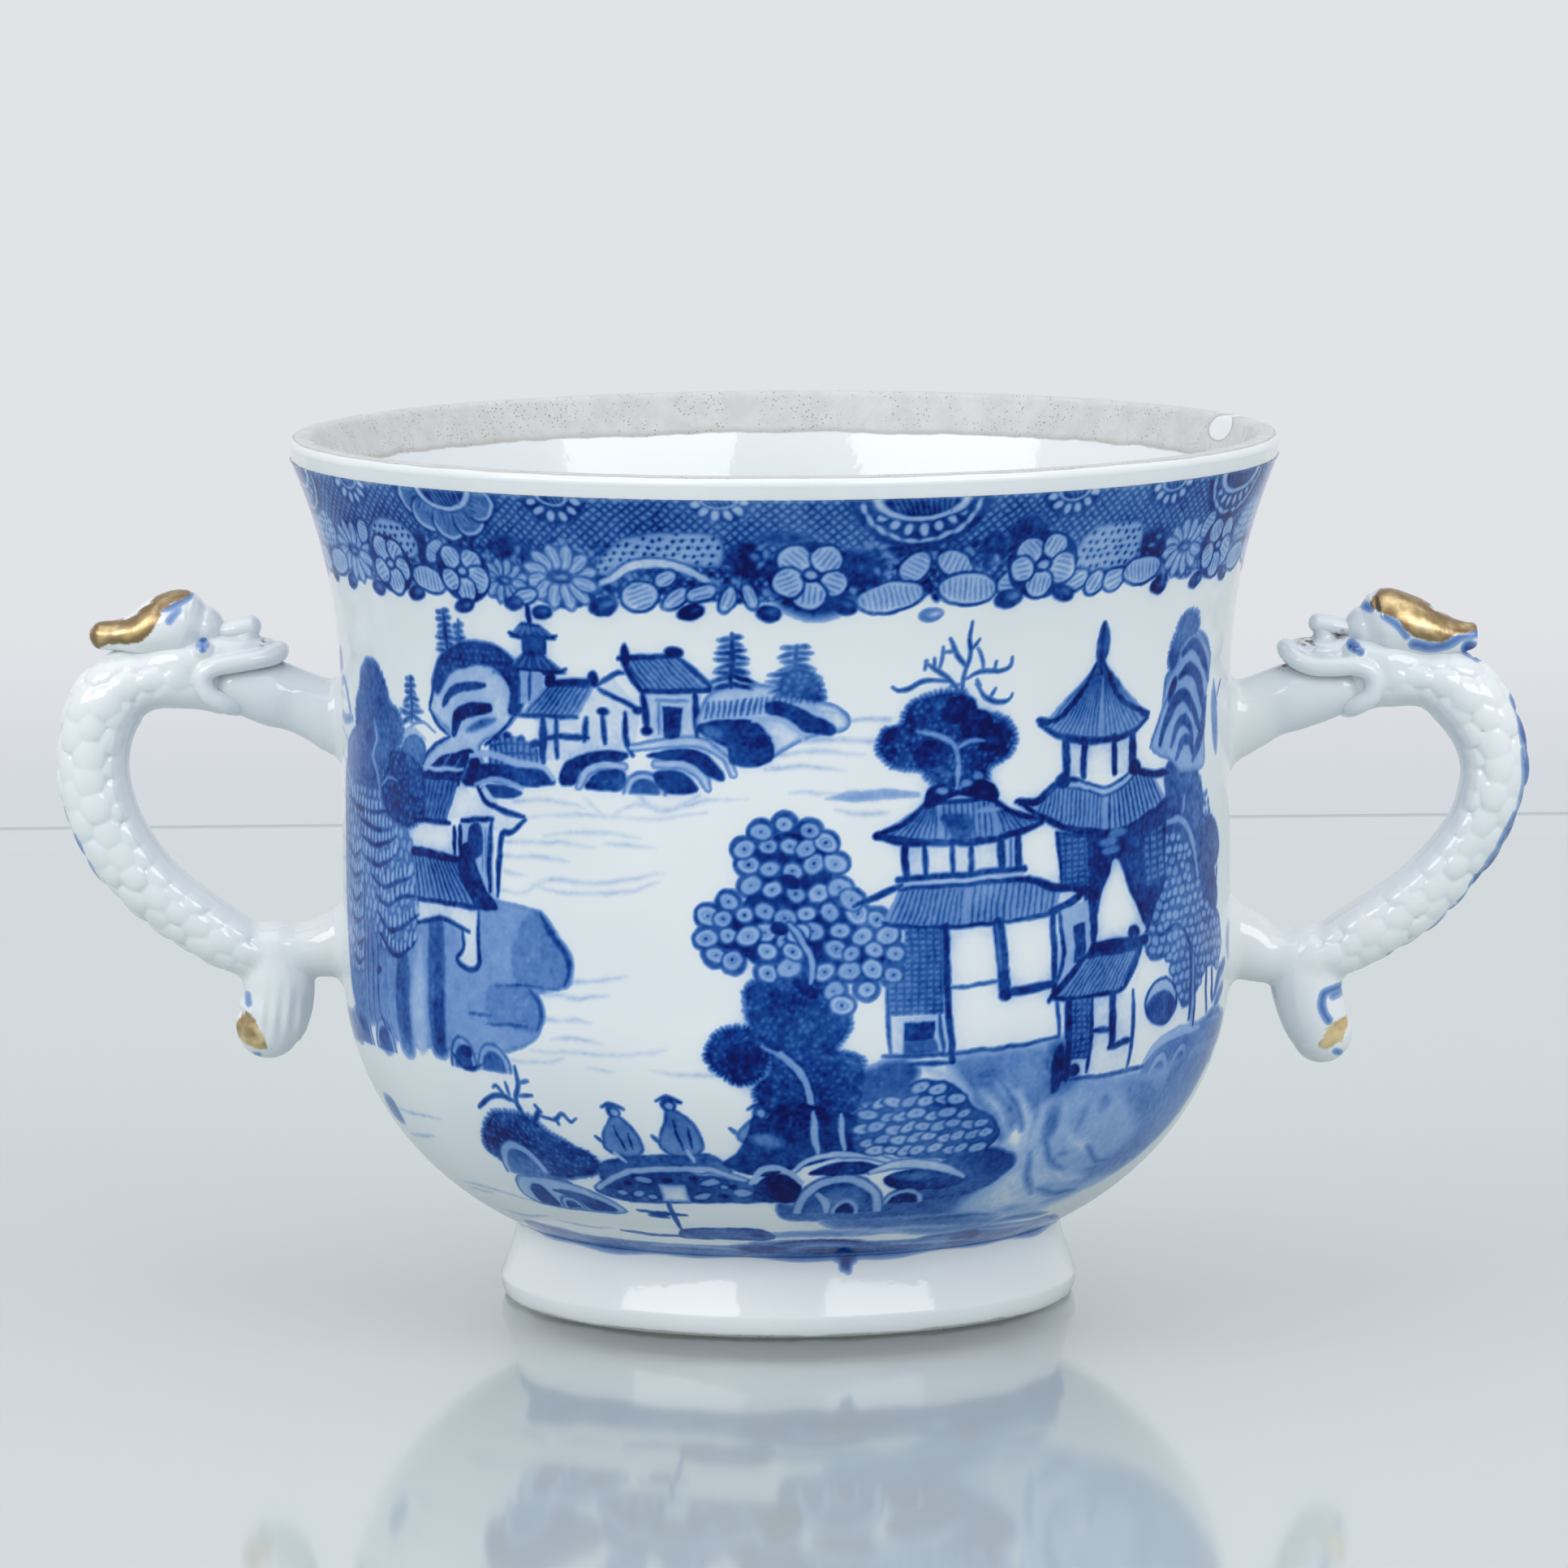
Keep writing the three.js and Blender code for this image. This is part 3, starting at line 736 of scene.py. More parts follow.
def shell_of(clay, field):
    """The closed surface where a field is nought, one point in each cell that it passes through.

    The point is the mean of the crossings on the cell's edges, and each crossed grid line makes one
    four-sided face between the four cells round it."""
    inside = field < 0
    shape = np.array(field.shape)
    cells = shape - 1
    owners, marks, crossings = [], [], []
    for axis in range(3):
        low = tuple(slice(None, -1) if k == axis else slice(None) for k in range(3))
        high = tuple(slice(1, None) if k == axis else slice(None) for k in range(3))
        place = np.argwhere(inside[low] != inside[high])
        first = field[low][tuple(place.T)]
        second = field[high][tuple(place.T)]
        point = place.astype(np.float32)
        point[:, axis] += first / (first - second)
        crossings.append((axis, place, inside[low][tuple(place.T)]))
        others = [k for k in range(3) if k != axis]
        for back_one in (0, 1):
            for back_two in (0, 1):
                cell = place.copy()
                cell[:, others[0]] -= back_one
                cell[:, others[1]] -= back_two
                good = np.all((cell >= 0) & (cell < cells), axis=1)
                owners.append(np.ravel_multi_index(tuple(cell[good].T), tuple(cells)))
                marks.append(point[good])
    owners, marks = np.concatenate(owners), np.concatenate(marks)
    used, owners = np.unique(owners, return_inverse=True)
    number = np.full(cells.prod(), -1, np.int64)
    number[used] = np.arange(len(used))
    number = number.reshape(tuple(cells))
    count = np.bincount(owners)
    points = np.stack([np.bincount(owners, marks[:, k]) / count for k in range(3)], 1)
    faces = []
    for axis, place, starts_inside in crossings:
        one, two = [k for k in range(3) if k != axis]
        good = np.all((place[:, [one, two]] >= 1) & (place[:, [one, two]] < cells[[one, two]]), axis=1)
        place, starts_inside = place[good], starts_inside[good]
        ring = []
        for d_one, d_two in ((1, 1), (0, 1), (0, 0), (1, 0)):
            cell = place.copy()
            cell[:, one] -= d_one
            cell[:, two] -= d_two
            ring.append(number[tuple(cell.T)])
        quad = np.stack(ring, 1)
        turned = ~starts_inside if axis != 1 else starts_inside
        quad[turned] = quad[turned][:, ::-1]
        faces.append(quad)
    origin = np.array([a[0] for a in clay.axes])
    fineness = clay.axes[0][1] - clay.axes[0][0]
    return origin + points * fineness, np.vstack(faces)


def stroke_shade(x, z, knots, width, fade):
    """How far places in the handle's plane lie inside a brush stroke along the knots, 0 to 1."""
    path = spline(knots, 0.3)
    start, end = path[:-1], path[1:]
    step = end - start
    px, pz = x[:, None] - start[:, 0], z[:, None] - start[:, 1]
    share = np.clip((px * step[:, 0] + pz * step[:, 1]) / (step**2).sum(1), 0, 1)
    gap = np.hypot(px - share * step[:, 0], pz - share * step[:, 1]).min(1)
    return np.clip((width / 2 + fade / 2 - gap) / fade, 0, 1)


def patch_shade(x, z, outline, fade):
    """How far places in the handle's plane lie inside a closed outline, 0 to 1."""
    corners = drawn(outline)
    ring = spline([*corners, corners[0]], 0.4)[:-1]
    ahead = np.roll(ring, -1, axis=0)
    step_x, step_z = (ahead - ring).T
    px, pz = x[:, None] - ring[:, 0], z[:, None] - ring[:, 1]
    crosses = (ring[:, 1] > z[:, None]) != (ahead[:, 1] > z[:, None])
    rise = np.where(step_z == 0, 1, step_z)
    inside = (crosses & (px < step_x * pz / rise)).sum(1) % 2
    share = np.clip((px * step_x + pz * step_z) / (step_x**2 + step_z**2), 0, 1)
    gap = np.hypot(px - share * step_x, pz - share * step_z).min(1)
    return np.clip(0.5 + np.where(inside, gap, -gap) / fade, 0, 1)


def scattered(row, column, salt):
    """A number from -1 to 1 for each whole row and column, the fraction of a fast sine."""
    wave = np.sin(row * 12.9898 + column * 78.233 + salt * 37.719) * 43758.5453
    return 2 * (wave - np.floor(wave)) - 1


def scales(along, angle):
    """Height of the scales: in each of several staggered columns from the spine round to the belly,
    a dome every pitch, its height about the root of 1 less the squared distance from its middle."""
    pitch, column_width, height = 2.8, 0.74, 0.48
    dome = np.zeros(np.broadcast(along, angle).shape)
    for column in range(4):
        shift = 0.5 * (column % 2)
        near = np.round(along / pitch - shift)
        for place in (near - 1, near, near + 1):
            off_row = along / pitch - shift - place + 0.14 * scattered(place, column, 1)
            off_column = (angle - column * column_width) / column_width + 0.12 * scattered(place, column, 2)
            lean = 1 + 0.22 * off_row
            size = 0.62 + 0.09 * scattered(place, column, 3)
            rise = 1 - (off_row / (size * 1.02)) ** 2 - (off_column / (size * 1.08)) ** 2
            high = lean * (1 + 0.24 * scattered(place, column, 4))
            dome = np.maximum(dome, high * np.maximum(rise, 0) ** 0.42)
    belly = np.clip((2.5 - angle) / 0.4, 0, 1)
    ends = np.clip((along + 0.5) / 7, 0, 1) * np.clip((SCALED_LENGTH - along) / 2.5, 0, 1)
    return height * belly * ends * (dome - 0.5)


SCALED_LENGTH = 53.0

# The two handles as seen in the photograph, each in its own plane with x away from the cup's axis.
# A station is x, z, depth in the plane and width across it. A lip knot is x, z and half width. A blue
# stroke has its knots in x and z, its width and its tone. A darker brown spot is x, z and reach.
RIGHT_HANDLE = {
    "body": "606,650,46,56 632,654,54,68 666,655,60,74 701,645,77,78 726,620,78,78 741,590,74,76 "
        "746,559,70,74 741,528,68,72 731,500,66,71 713,473,65,70 688,443,66,70 656,414,69,70 "
        "622,392,68,69 588,372,64,68 562,360,56,64",
    "tail": "548,356,72,66 548,334,76,70 551,314,73,70 558,292,70,68 565,276,64,62",
    "lower_arm": "448,374,115,90 470,372,90,72 484,369,76,64 504,361,63,60 530,358,56,58",
    "upper_arm": "446,609,115,94 468,611,90,78 486,616,77,69 509,626,70,63 534,634,72,69 562,639,64,69 "
        "584,643,54,67",
    "lip": "527,686,0 529,683,16 536,677,25 553,670,31 574,669,34 597,670,35 612,665,35 619,653,34 "
        "616,639,33 606,631,30 596,625,22 591,622,0",
    "snout": "630,670,52,74 604,680,44,70 574,683,32,62 542,685,23,44",
    "jaw": "604,627,22,46 622,642,42,60 650,652,54,68",
    "nose_post": "570,682,26,32 568,698,23,30 565,710,22,32",
    "nose_curl": "561,712,21,34 576,710,20,36 592,707,17,32 606,708,14,30",
    "eye": (59.7, 69.1),
    "crest": "612,707,48,56 629,711,75,76 652,708,69,78 676,701,59,70 697,697,44,56 714,697,33,44 "
        "723,698,28,36",
    "crest_end": 72.9,
    "gilt": [
        "614,735 627,749 639,752 661,744 682,728 701,719 733,714 725,705 701,700 689,694 668,699 "
            "653,706 641,721 627,725",
        "568,285 581,294 593,296 589,273 581,268 568,260 560,265",
    ],
    "blue": [
        ("769,634 776,614 780,588", 1.0, 0.85),
        ("781,578 782,546 776,514", 1.2, 0.6),
        ("772,508 762,489 756,477", 1.3, 0.7),
        ("754,472 743,457", 1.2, 0.6),
        ("739,450 726,434", 1.1, 0.75),
        ("726,428 714,416", 0.9, 0.8),
        ("706,409 697,400 668,374 637,359", 0.5, 0.6),
        ("660,693 678,689 696,692 710,700 726,703", 0.9, 0.55),
        ("719,687 730,680", 1.3, 0.9),
        ("606,734 614,730", 0.6, 0.5),
        ("629,723 643,713 652,702", 0.5, 0.6),
        ("595,692 598,690", 0.7, 1.0),
        ("598,690 604,685", 0.5, 0.6),
        ("585,327 574,325 566,322 563.5,311 566,301 571,293", 0.55, 0.75),
        ("586,322 576,319", 0.7, 0.5),
        ("579,259 583,257", 0.4, 0.7),
    ],
    "brown_spots": [(54.9, 69.4, 0.9), (58.2, 70.2, 0.6), (52.3, 66.9, 0.5)],
    "flutes": 0.0,
    "set_off": (0.1, 0, -0.33),
}
LEFT_HANDLE = {
    "body": "604,650,46,56 630,654,54,68 662,653,62,74 696,642,77,78 716,617,79,78 725,584,76,76 "
        "726,554,75,74 721,524,75,73 710,494,74,72 693,466,72,71 673,441,69,70 649,419,67,70 "
        "622,399,66,69 594,380,64,68 568,366,58,64",
    "tail": "538,360,70,66 534,336,76,72 534,314,74,72 540,292,77,70 545,282,68,64",
    "lower_arm": "448,370,100,90 472,369,74,68 490,366,63,62 510,364,56,60 530,364,54,58",
    "upper_arm": "446,612,100,94 468,613,83,78 489,620,69,69 512,629,66,63 534,636,70,69 558,642,64,69 "
        "576,646,54,67",
    "lip": "529,682,0 531,680,16 539,678,25 558,675,31 578,672,34 595,669,35 606,662,35 608,652,34 "
        "602,639,33 590,631,30 579,626,22 572,623,0",
    "snout": "628,670,52,74 602,681,44,70 574,684,32,62 544,683,26,46",
    "jaw": "592,626,22,46 616,641,44,60 646,651,56,68",
    "nose_post": "572,684,36,34 568,696,30,32 562,706,26,34",
    "nose_curl": "560,708,24,35 574,706,23,37 588,704,19,33 602,705,17,30",
    "eye": (60.8, 69.1),
    "crest": "611,707,48,56 629,710,74,76 652,708,67,78 676,701,50,66 697,699,34,46 712,699,31,40 "
        "715,699,30,38",
    "crest_end": 73.5,
    "gilt": [
        "729,701 718,716 689,717 671,730 654,744 636,749 619,746 631,739 650,730 654,720 665,702 "
            "680,694 706,692 721,686",
        "569,302 559,297 551,282 544,262 549,259 565,262 577,269 585,280 579,289",
    ],
    "blue": [
        ("761,516 757,502", 0.4, 0.5),
        ("749,487 741,469", 0.55, 0.9),
        ("734,459 725,441", 0.4, 0.6),
        ("718,433 704,417", 0.35, 0.4),
        ("624,743 640,734 652,732", 0.7, 0.75),
        ("634,729 643,718", 0.6, 0.4),
        ("608,695 608,688", 0.35, 0.95),
        ("605,692 612,691", 0.45, 0.5),
        ("566,318 565,310", 0.45, 0.5),
        ("555,254 559,254", 0.3, 0.5),
    ],
    "brown_spots": [(54.6, 69.2, 0.35), (52.6, 67.0, 0.3), (72.9, 70.6, 0.8)],
    "flutes": 0.13,
    "set_off": (0.4, 0, 0.33),
}
FLUTES_TOP, FLUTES_FOOT = 34, 26.2
FLUTES_LEAN, FLUTES_TURN = 0.1, 4.6
SKULL, SKULL_RADII = (63.4, 0, 67.2), (4.6, 3.6, 2.9)
LIP_ROLL = 1.02
EYE_ASIDE, EYE_DROP, EYE_RADII = 3.0, 0.5, (1.15, 1.1, 0.95)
SKIRT_BLEND, SKIRT_BURIED = 1.5, 0.45


def linear(red, green, blue):
    """A colour as Blender's sockets take it, from its values out of 255 in the photograph."""
    share = np.array([red, green, blue]) / 255
    bent = np.where(share <= 0.04045, share / 12.92, ((share + 0.055) / 1.055) ** 2.4)
    return (*bent, 1.0)


WHITE_GLAZE = linear(227, 231, 233)
POOLED_GLAZE = linear(219, 225, 228)
# The wall's white glaze, a little darker than the same glaze on the handles and foot: painted shade.
SHADED_WALL_GLAZE = linear(221, 226, 229), linear(214, 220, 224)


class Finish:
    """A material and short ways to add nodes to it."""

    def __init__(self, name):
        self.material = bpy.data.materials.new(name)
        self.material.use_nodes = True
        self.nodes = self.material.node_tree.nodes
        self.links = self.material.node_tree.links
        self.shader = self.nodes["Principled BSDF"]
        self.place = self.nodes.new("ShaderNodeTexCoord").outputs["Object"]

    def join(self, source, socket):
        if isinstance(source, bpy.types.NodeSocket):
            self.links.new(source, socket)
        else:
            socket.default_value = source

    def take(self, name, source):
        """The shader's input of that name comes from a socket or is a value."""
        self.join(source, self.shader.inputs[name])

    def node(self, kind, **inputs):
        """A node of that kind, its inputs joined to sockets or set to values by name."""
        node = self.nodes.new("ShaderNode" + kind)
        for name, source in inputs.items():
            self.join(source, node.inputs[name])
        return node

    def attribute(self, name):
        node = self.node("Attribute")
        node.attribute_name = name
        return node.outputs["Fac"]

    def noise(self, per_metre, detail=3.0, roughness=0.5):
        node = self.node("TexNoise", Vector=self.place, Scale=per_metre, Detail=detail, Roughness=roughness)
        return node.outputs["Fac"]

    def cloud(self, per_metre, detail, low, high, first=0.0, last=1.0, roughness=0.5):
        """Noise spread from low and high to the first and the last value."""
        return self.ramp(self.noise(per_metre, detail, roughness), low, high, first, last)

    def maths(self, kind, first, second=0.0, third=0.0, clamp=False):
        node = self.node("Math")
        node.operation = kind
        node.use_clamp = clamp
        for value, socket in zip((first, second, third), node.inputs):
            self.join(value, socket)
        return node.outputs[0]

    def ramp(self, value, low, high, first=0.0, last=1.0):
        node = self.node("MapRange")
        node.interpolation_type = "SMOOTHSTEP"
        for number, socket in zip((value, low, high, first, last), node.inputs):
            self.join(number, socket)
        return node.outputs[0]

    def tones(self, value, *stops):
        node = self.node("ValToRGB")
        scale = node.color_ramp
        while len(scale.elements) < len(stops):
            scale.elements.new(0.5)
        for element, (place, colour) in zip(scale.elements, stops):
            element.position = place
            element.color = colour
        self.join(value, node.inputs[0])
        return node.outputs[0]

    def blend(self, share, first, second, kind="MIX"):
        node = self.node("Mix")
        node.data_type = "RGBA"
        node.blend_type = kind
        self.join(share, node.inputs["Factor"])
        self.join(first, node.inputs["A"])
        self.join(second, node.inputs["B"])
        return node.outputs["Result"]

    def bump(self, height, depth, strength=1.0, below=None):
        node = self.node("Bump", Strength=strength, Distance=depth, Height=height)
        if below is not None:
            self.join(below, node.inputs["Normal"])
        return node.outputs[0]


def glaze_colour(finish, tone, glaze=(WHITE_GLAZE, POOLED_GLAZE)):
    """White glaze, bluish where it pools, over cobalt whose tone thins and floats a little."""
    pooling = finish.cloud(38.0, 2.0, 0.35, 0.7)
    ground = finish.blend(pooling, *glaze)
    float_off = finish.cloud(900.0, 3.0, 0.3, 0.75, 0.9, 1.05)
    cloud = finish.cloud(120.0, 2.0, 0.3, 0.7, 0.9, 1.08)
    depth = finish.maths("MULTIPLY", tone, finish.maths("MULTIPLY", float_off, cloud), clamp=True)
    blue = finish.tones(
        depth,
        (0.0, linear(190, 206, 222)),
        (0.12, linear(150, 176, 212)),
        (0.25, linear(116, 150, 200)),
        (0.4, linear(82, 122, 182)),
        (0.55, linear(48, 94, 162)),
        (0.72, linear(8, 62, 138)),
        (0.88, linear(0, 29, 108)),
        (1.0, linear(0, 8, 78)),
    )
    cover = finish.ramp(depth, 0.01, 0.16)
    return finish.blend(cover, ground, blue)


def glossy(finish, sheen):
    """The skin of a fired glaze: smooth, with faint orange peel and a slow swell."""
    peel = finish.bump(finish.noise(700.0, 2.0), 0.00006, 0.35)
    swell = finish.bump(finish.noise(45.0, 1.0), 0.0008, 0.2, below=peel)
    finish.take("Normal", swell)
    finish.take("IOR", 1.5)
    finish.take("Specular IOR Level", sheen)
    return finish.cloud(60.0, 3.0, 0.3, 0.7, 0.05, 0.11)


def painted_porcelain():
    """The wall: cobalt painting of each place's tone under a clear glaze. Its white is painted a little
    darker than the same glaze on the handles and foot: painted shade.
    """
    finish = Finish("cobalt painting under glaze")
    finish.take("Base Color", glaze_colour(finish, finish.attribute("cobalt"), SHADED_WALL_GLAZE))
    finish.take("Roughness", glossy(finish, 0.12))
    return finish.material


def biscuit_and_glaze():
    """White glaze that stops at a wandering line, past which the bare clay is rough, stained and
    specked with iron. Bare is millimetres past that line."""
    finish = Finish("white glaze and bare clay")
    wander = finish.maths("MULTIPLY_ADD", finish.noise(160.0, 4.0, 0.6), 1.0, -0.5)
    past = finish.maths("ADD", finish.attribute("bare"), wander)
    bare = finish.ramp(past, -0.12, 0.12)
    rim_stain = finish.ramp(finish.maths("ABSOLUTE", past), 0.0, 0.8, 1.0, 0.0)
    mottle = finish.cloud(420.0, 5.0, 0.32, 0.68, roughness=0.7)
    clay = finish.blend(mottle, linear(194, 196, 195), linear(204, 206, 206))
    stain = finish.cloud(130.0, 4.0, 0.42, 0.62, roughness=0.65)
    clay = finish.blend(finish.maths("MULTIPLY", stain, 0.1), clay, linear(168, 168, 163))
    clay = finish.blend(finish.maths("MULTIPLY", rim_stain, 0.55), clay, linear(160, 156, 149))
    specks = finish.node("TexVoronoi", Vector=finish.place, Scale=2300.0)
    near = finish.ramp(specks.outputs["Distance"], 0.14, 0.3, 1.0, 0.0)
    chosen = finish.cloud(340.0, 3.0, 0.4, 0.6, 0.0, 0.8)
    clay = finish.blend(finish.maths("MULTIPLY", near, chosen), clay, linear(128, 123, 114))
    glaze = glaze_colour(finish, finish.attribute("cobalt"))
    finish.take("Base Color", finish.blend(bare, glaze, clay))
    finish.take("Roughness", finish.maths("MULTIPLY_ADD", bare, 0.6, glossy(finish, 0.6), clamp=True))
    return finish.material


def gilt_porcelain():
    """White glaze with strokes of cobalt, gilt patches worn thin at their edges, painted shade along the
    crests' gilt edges, and darker brown spots.
    """
    finish = Finish("white glaze with worn gilding")
    skin = glaze_colour(finish, finish.attribute("cobalt"))
    wear = finish.maths("MULTIPLY_ADD", finish.noise(900.0, 5.0, 0.65), 0.9, -0.45)
    gold = finish.ramp(finish.maths("ADD", finish.attribute("gold"), wear), 0.35, 0.62)
    leaf = finish.blend(
        finish.cloud(500.0, 3.0, 0.35, 0.65), linear(206, 178, 126), linear(232, 208, 160)
    )
    tarnish_and_edge_shade = finish.maths("MULTIPLY", finish.cloud(240.0, 3.0, 0.48, 0.66, roughness=0.6), 0.7)
    ragged = finish.maths("MULTIPLY_ADD", finish.noise(700.0, 3.0), 0.9, -0.45)
    # Painted shade: a band along the crests' gilt edges darkens the gold, joined to the random tarnish.
    rim = finish.ramp(finish.maths("ADD", finish.attribute("tarnish_and_edge_shade"), ragged), 0.2, 0.85, 0.0, 0.85)
    leaf = finish.blend(finish.maths("MAXIMUM", tarnish_and_edge_shade, rim), leaf, linear(120, 95, 62))
    skin = finish.blend(gold, skin, leaf)
    grains = finish.cloud(1500.0, 3.0, 0.42, 0.6)
    brown_spot_share = finish.maths("MULTIPLY", finish.attribute("brown_spots"), grains)
    finish.take("Base Color", finish.blend(brown_spot_share, skin, linear(96, 78, 62)))
    finish.take("Metallic", finish.maths("MULTIPLY", gold, 0.74))
    finish.take("Roughness", finish.maths("MULTIPLY_ADD", gold, 0.17, glossy(finish, 0.85), clamp=True))
    return finish.material


def tail_clay(clay, shape):
    """The lobe of the tail. Its flutes are a cosine of the distance across it."""
    fade = np.clip((FLUTES_TOP - clay.z) / 5, 0, 1) * np.clip((clay.z - FLUTES_FOOT) / 3.5, 0, 1)
    flutes = np.cos((clay.x + FLUTES_LEAN * clay.z) * FLUTES_TURN)
    return limb(clay, shape["tail"]) + shape["flutes"] * flutes * fade


def dragon_clay(clay, shape):
    """Head, scaled body and tail lobe run together. The body is the only scaled limb."""
    body = limb(clay, shape["body"], scales)
    head = pressed(limb(clay, shape["snout"]), ball(clay, SKULL, SKULL_RADII), 0.8)
    head = pressed(head, limb(clay, shape["jaw"]), 0.9)
    head = pressed(head, limb(clay, shape["nose_post"]), 0.5)
    whole = pressed(pressed(body, head, 1.0), tail_clay(clay, shape), 0.9)
    whole = pressed(whole, rope(clay, shape["lip"], LIP_ROLL), 0.4)
    x, z = shape["eye"]
    for y in (-EYE_ASIDE, EYE_ASIDE):
        whole = pressed(whole, ball(clay, (x, y, z - EYE_DROP), EYE_RADII), 0.25)
    return whole


def upper_arm_clay(clay, shape):
    wall = wall_distance(clay, shape["set_off"])
    return skirt(limb(clay, shape["upper_arm"]), wall, SKIRT_BLEND, SKIRT_BURIED)


def lower_arm_clay(clay, shape):
    wall = wall_distance(clay, shape["set_off"])
    arm = skirt(limb(clay, shape["lower_arm"]), wall, SKIRT_BLEND, SKIRT_BURIED)
    return skirt(arm, tail_clay(clay, shape) + 0.1, 1.0, 0.5)


def crest_clay(clay, shape):
    """The crest, cut off upright at its end, the cut's edge softened."""
    return -pressed(-limb(clay, shape["crest"]), shape["crest_end"] - clay.x, 0.6)


def nose_curl_clay(clay, shape):
    return limb(clay, shape["nose_curl"])


# How each piece is built, the low and the high corner of its block, and the block's fineness
HANDLE_PIECES = {
    "dragon": (dragon_clay, (48.8, -5.0, 23.8), (79.4, 5.0, 71.4), 0.2),
    "upper_arm": (upper_arm_clay, (44.4, -6.0, 52.0), (61.6, 6.0, 69.6), 0.2),
    "lower_arm": (lower_arm_clay, (44.4, -6.0, 29.0), (56.0, 6.0, 44.4), 0.2),
    "crest": (crest_clay, (57.8, -4.6, 65.8), (74.6, 4.6, 76.0), 0.2),
    "nose_curl": (nose_curl_clay, (53.8, -2.6, 69.2), (62.0, 2.6, 73.0), 0.15),
}


def handle_piece(side, part, shape, material):
    """One shell of a handle. The left one is made on the right and mirrored."""
    build, low, high, fineness = HANDLE_PIECES[part]
    clay = Clay(low, high, fineness)
    points, faces = shell_of(clay, np.broadcast_to(build(clay, shape), clay.shape))
    x, z = points[:, 0], points[:, 2]
    cobalt = np.zeros(len(points))
    for knots, width, tone in shape["blue"]:
        cobalt = np.maximum(cobalt, 0.85 * tone * stroke_shade(x, z, knots, width, 0.7))
    gold, gilt_inside = np.zeros(len(points)), np.zeros(len(points))
    for outline in shape["gilt"]:
        gold = np.maximum(gold, patch_shade(x, z, outline, 1.1))
        gilt_inside = np.maximum(gilt_inside, patch_shade(x, z, outline, 3.2))
    # Painted shade on the crests: the gold darkens within about 1.6 mm of its edges.
    tarnish_and_edge_shade = np.where(z > TAIL_GOLD_TOP, 2 - 2 * gilt_inside, 0)
    # Darker, browner spots at the listed places in the mouth's creases and at the crest's end.
    brown_spots = np.zeros(len(points))
    for spot_x, spot_z, reach in shape["brown_spots"]:
        brown_spots = np.maximum(brown_spots, np.clip(1.4 - np.hypot(x - spot_x, z - spot_z) / reach, 0, 1))
    points = points + shape["set_off"]
    if side == "left":
        points = points * [-1, 1, 1]
        faces = faces[:, ::-1]
    gold = gold * np.where(z < TAIL_GOLD_TOP, TAIL_GOLD_LEFT, 1)
    values = {"cobalt": cobalt * (1 - 0.8 * (gold > 0.5)), "gold": gold, "tarnish_and_edge_shade": tarnish_and_edge_shade, "brown_spots": brown_spots}
    name = f"{side}_{part}"
    piece = mesh_piece(
        f"{name}_clay", points, faces.reshape(-1), np.full(len(faces), 4), material, values
    )
    slot = "gilding" if part == "crest" else "white_glaze"
    return stands_for(piece, slot, name)


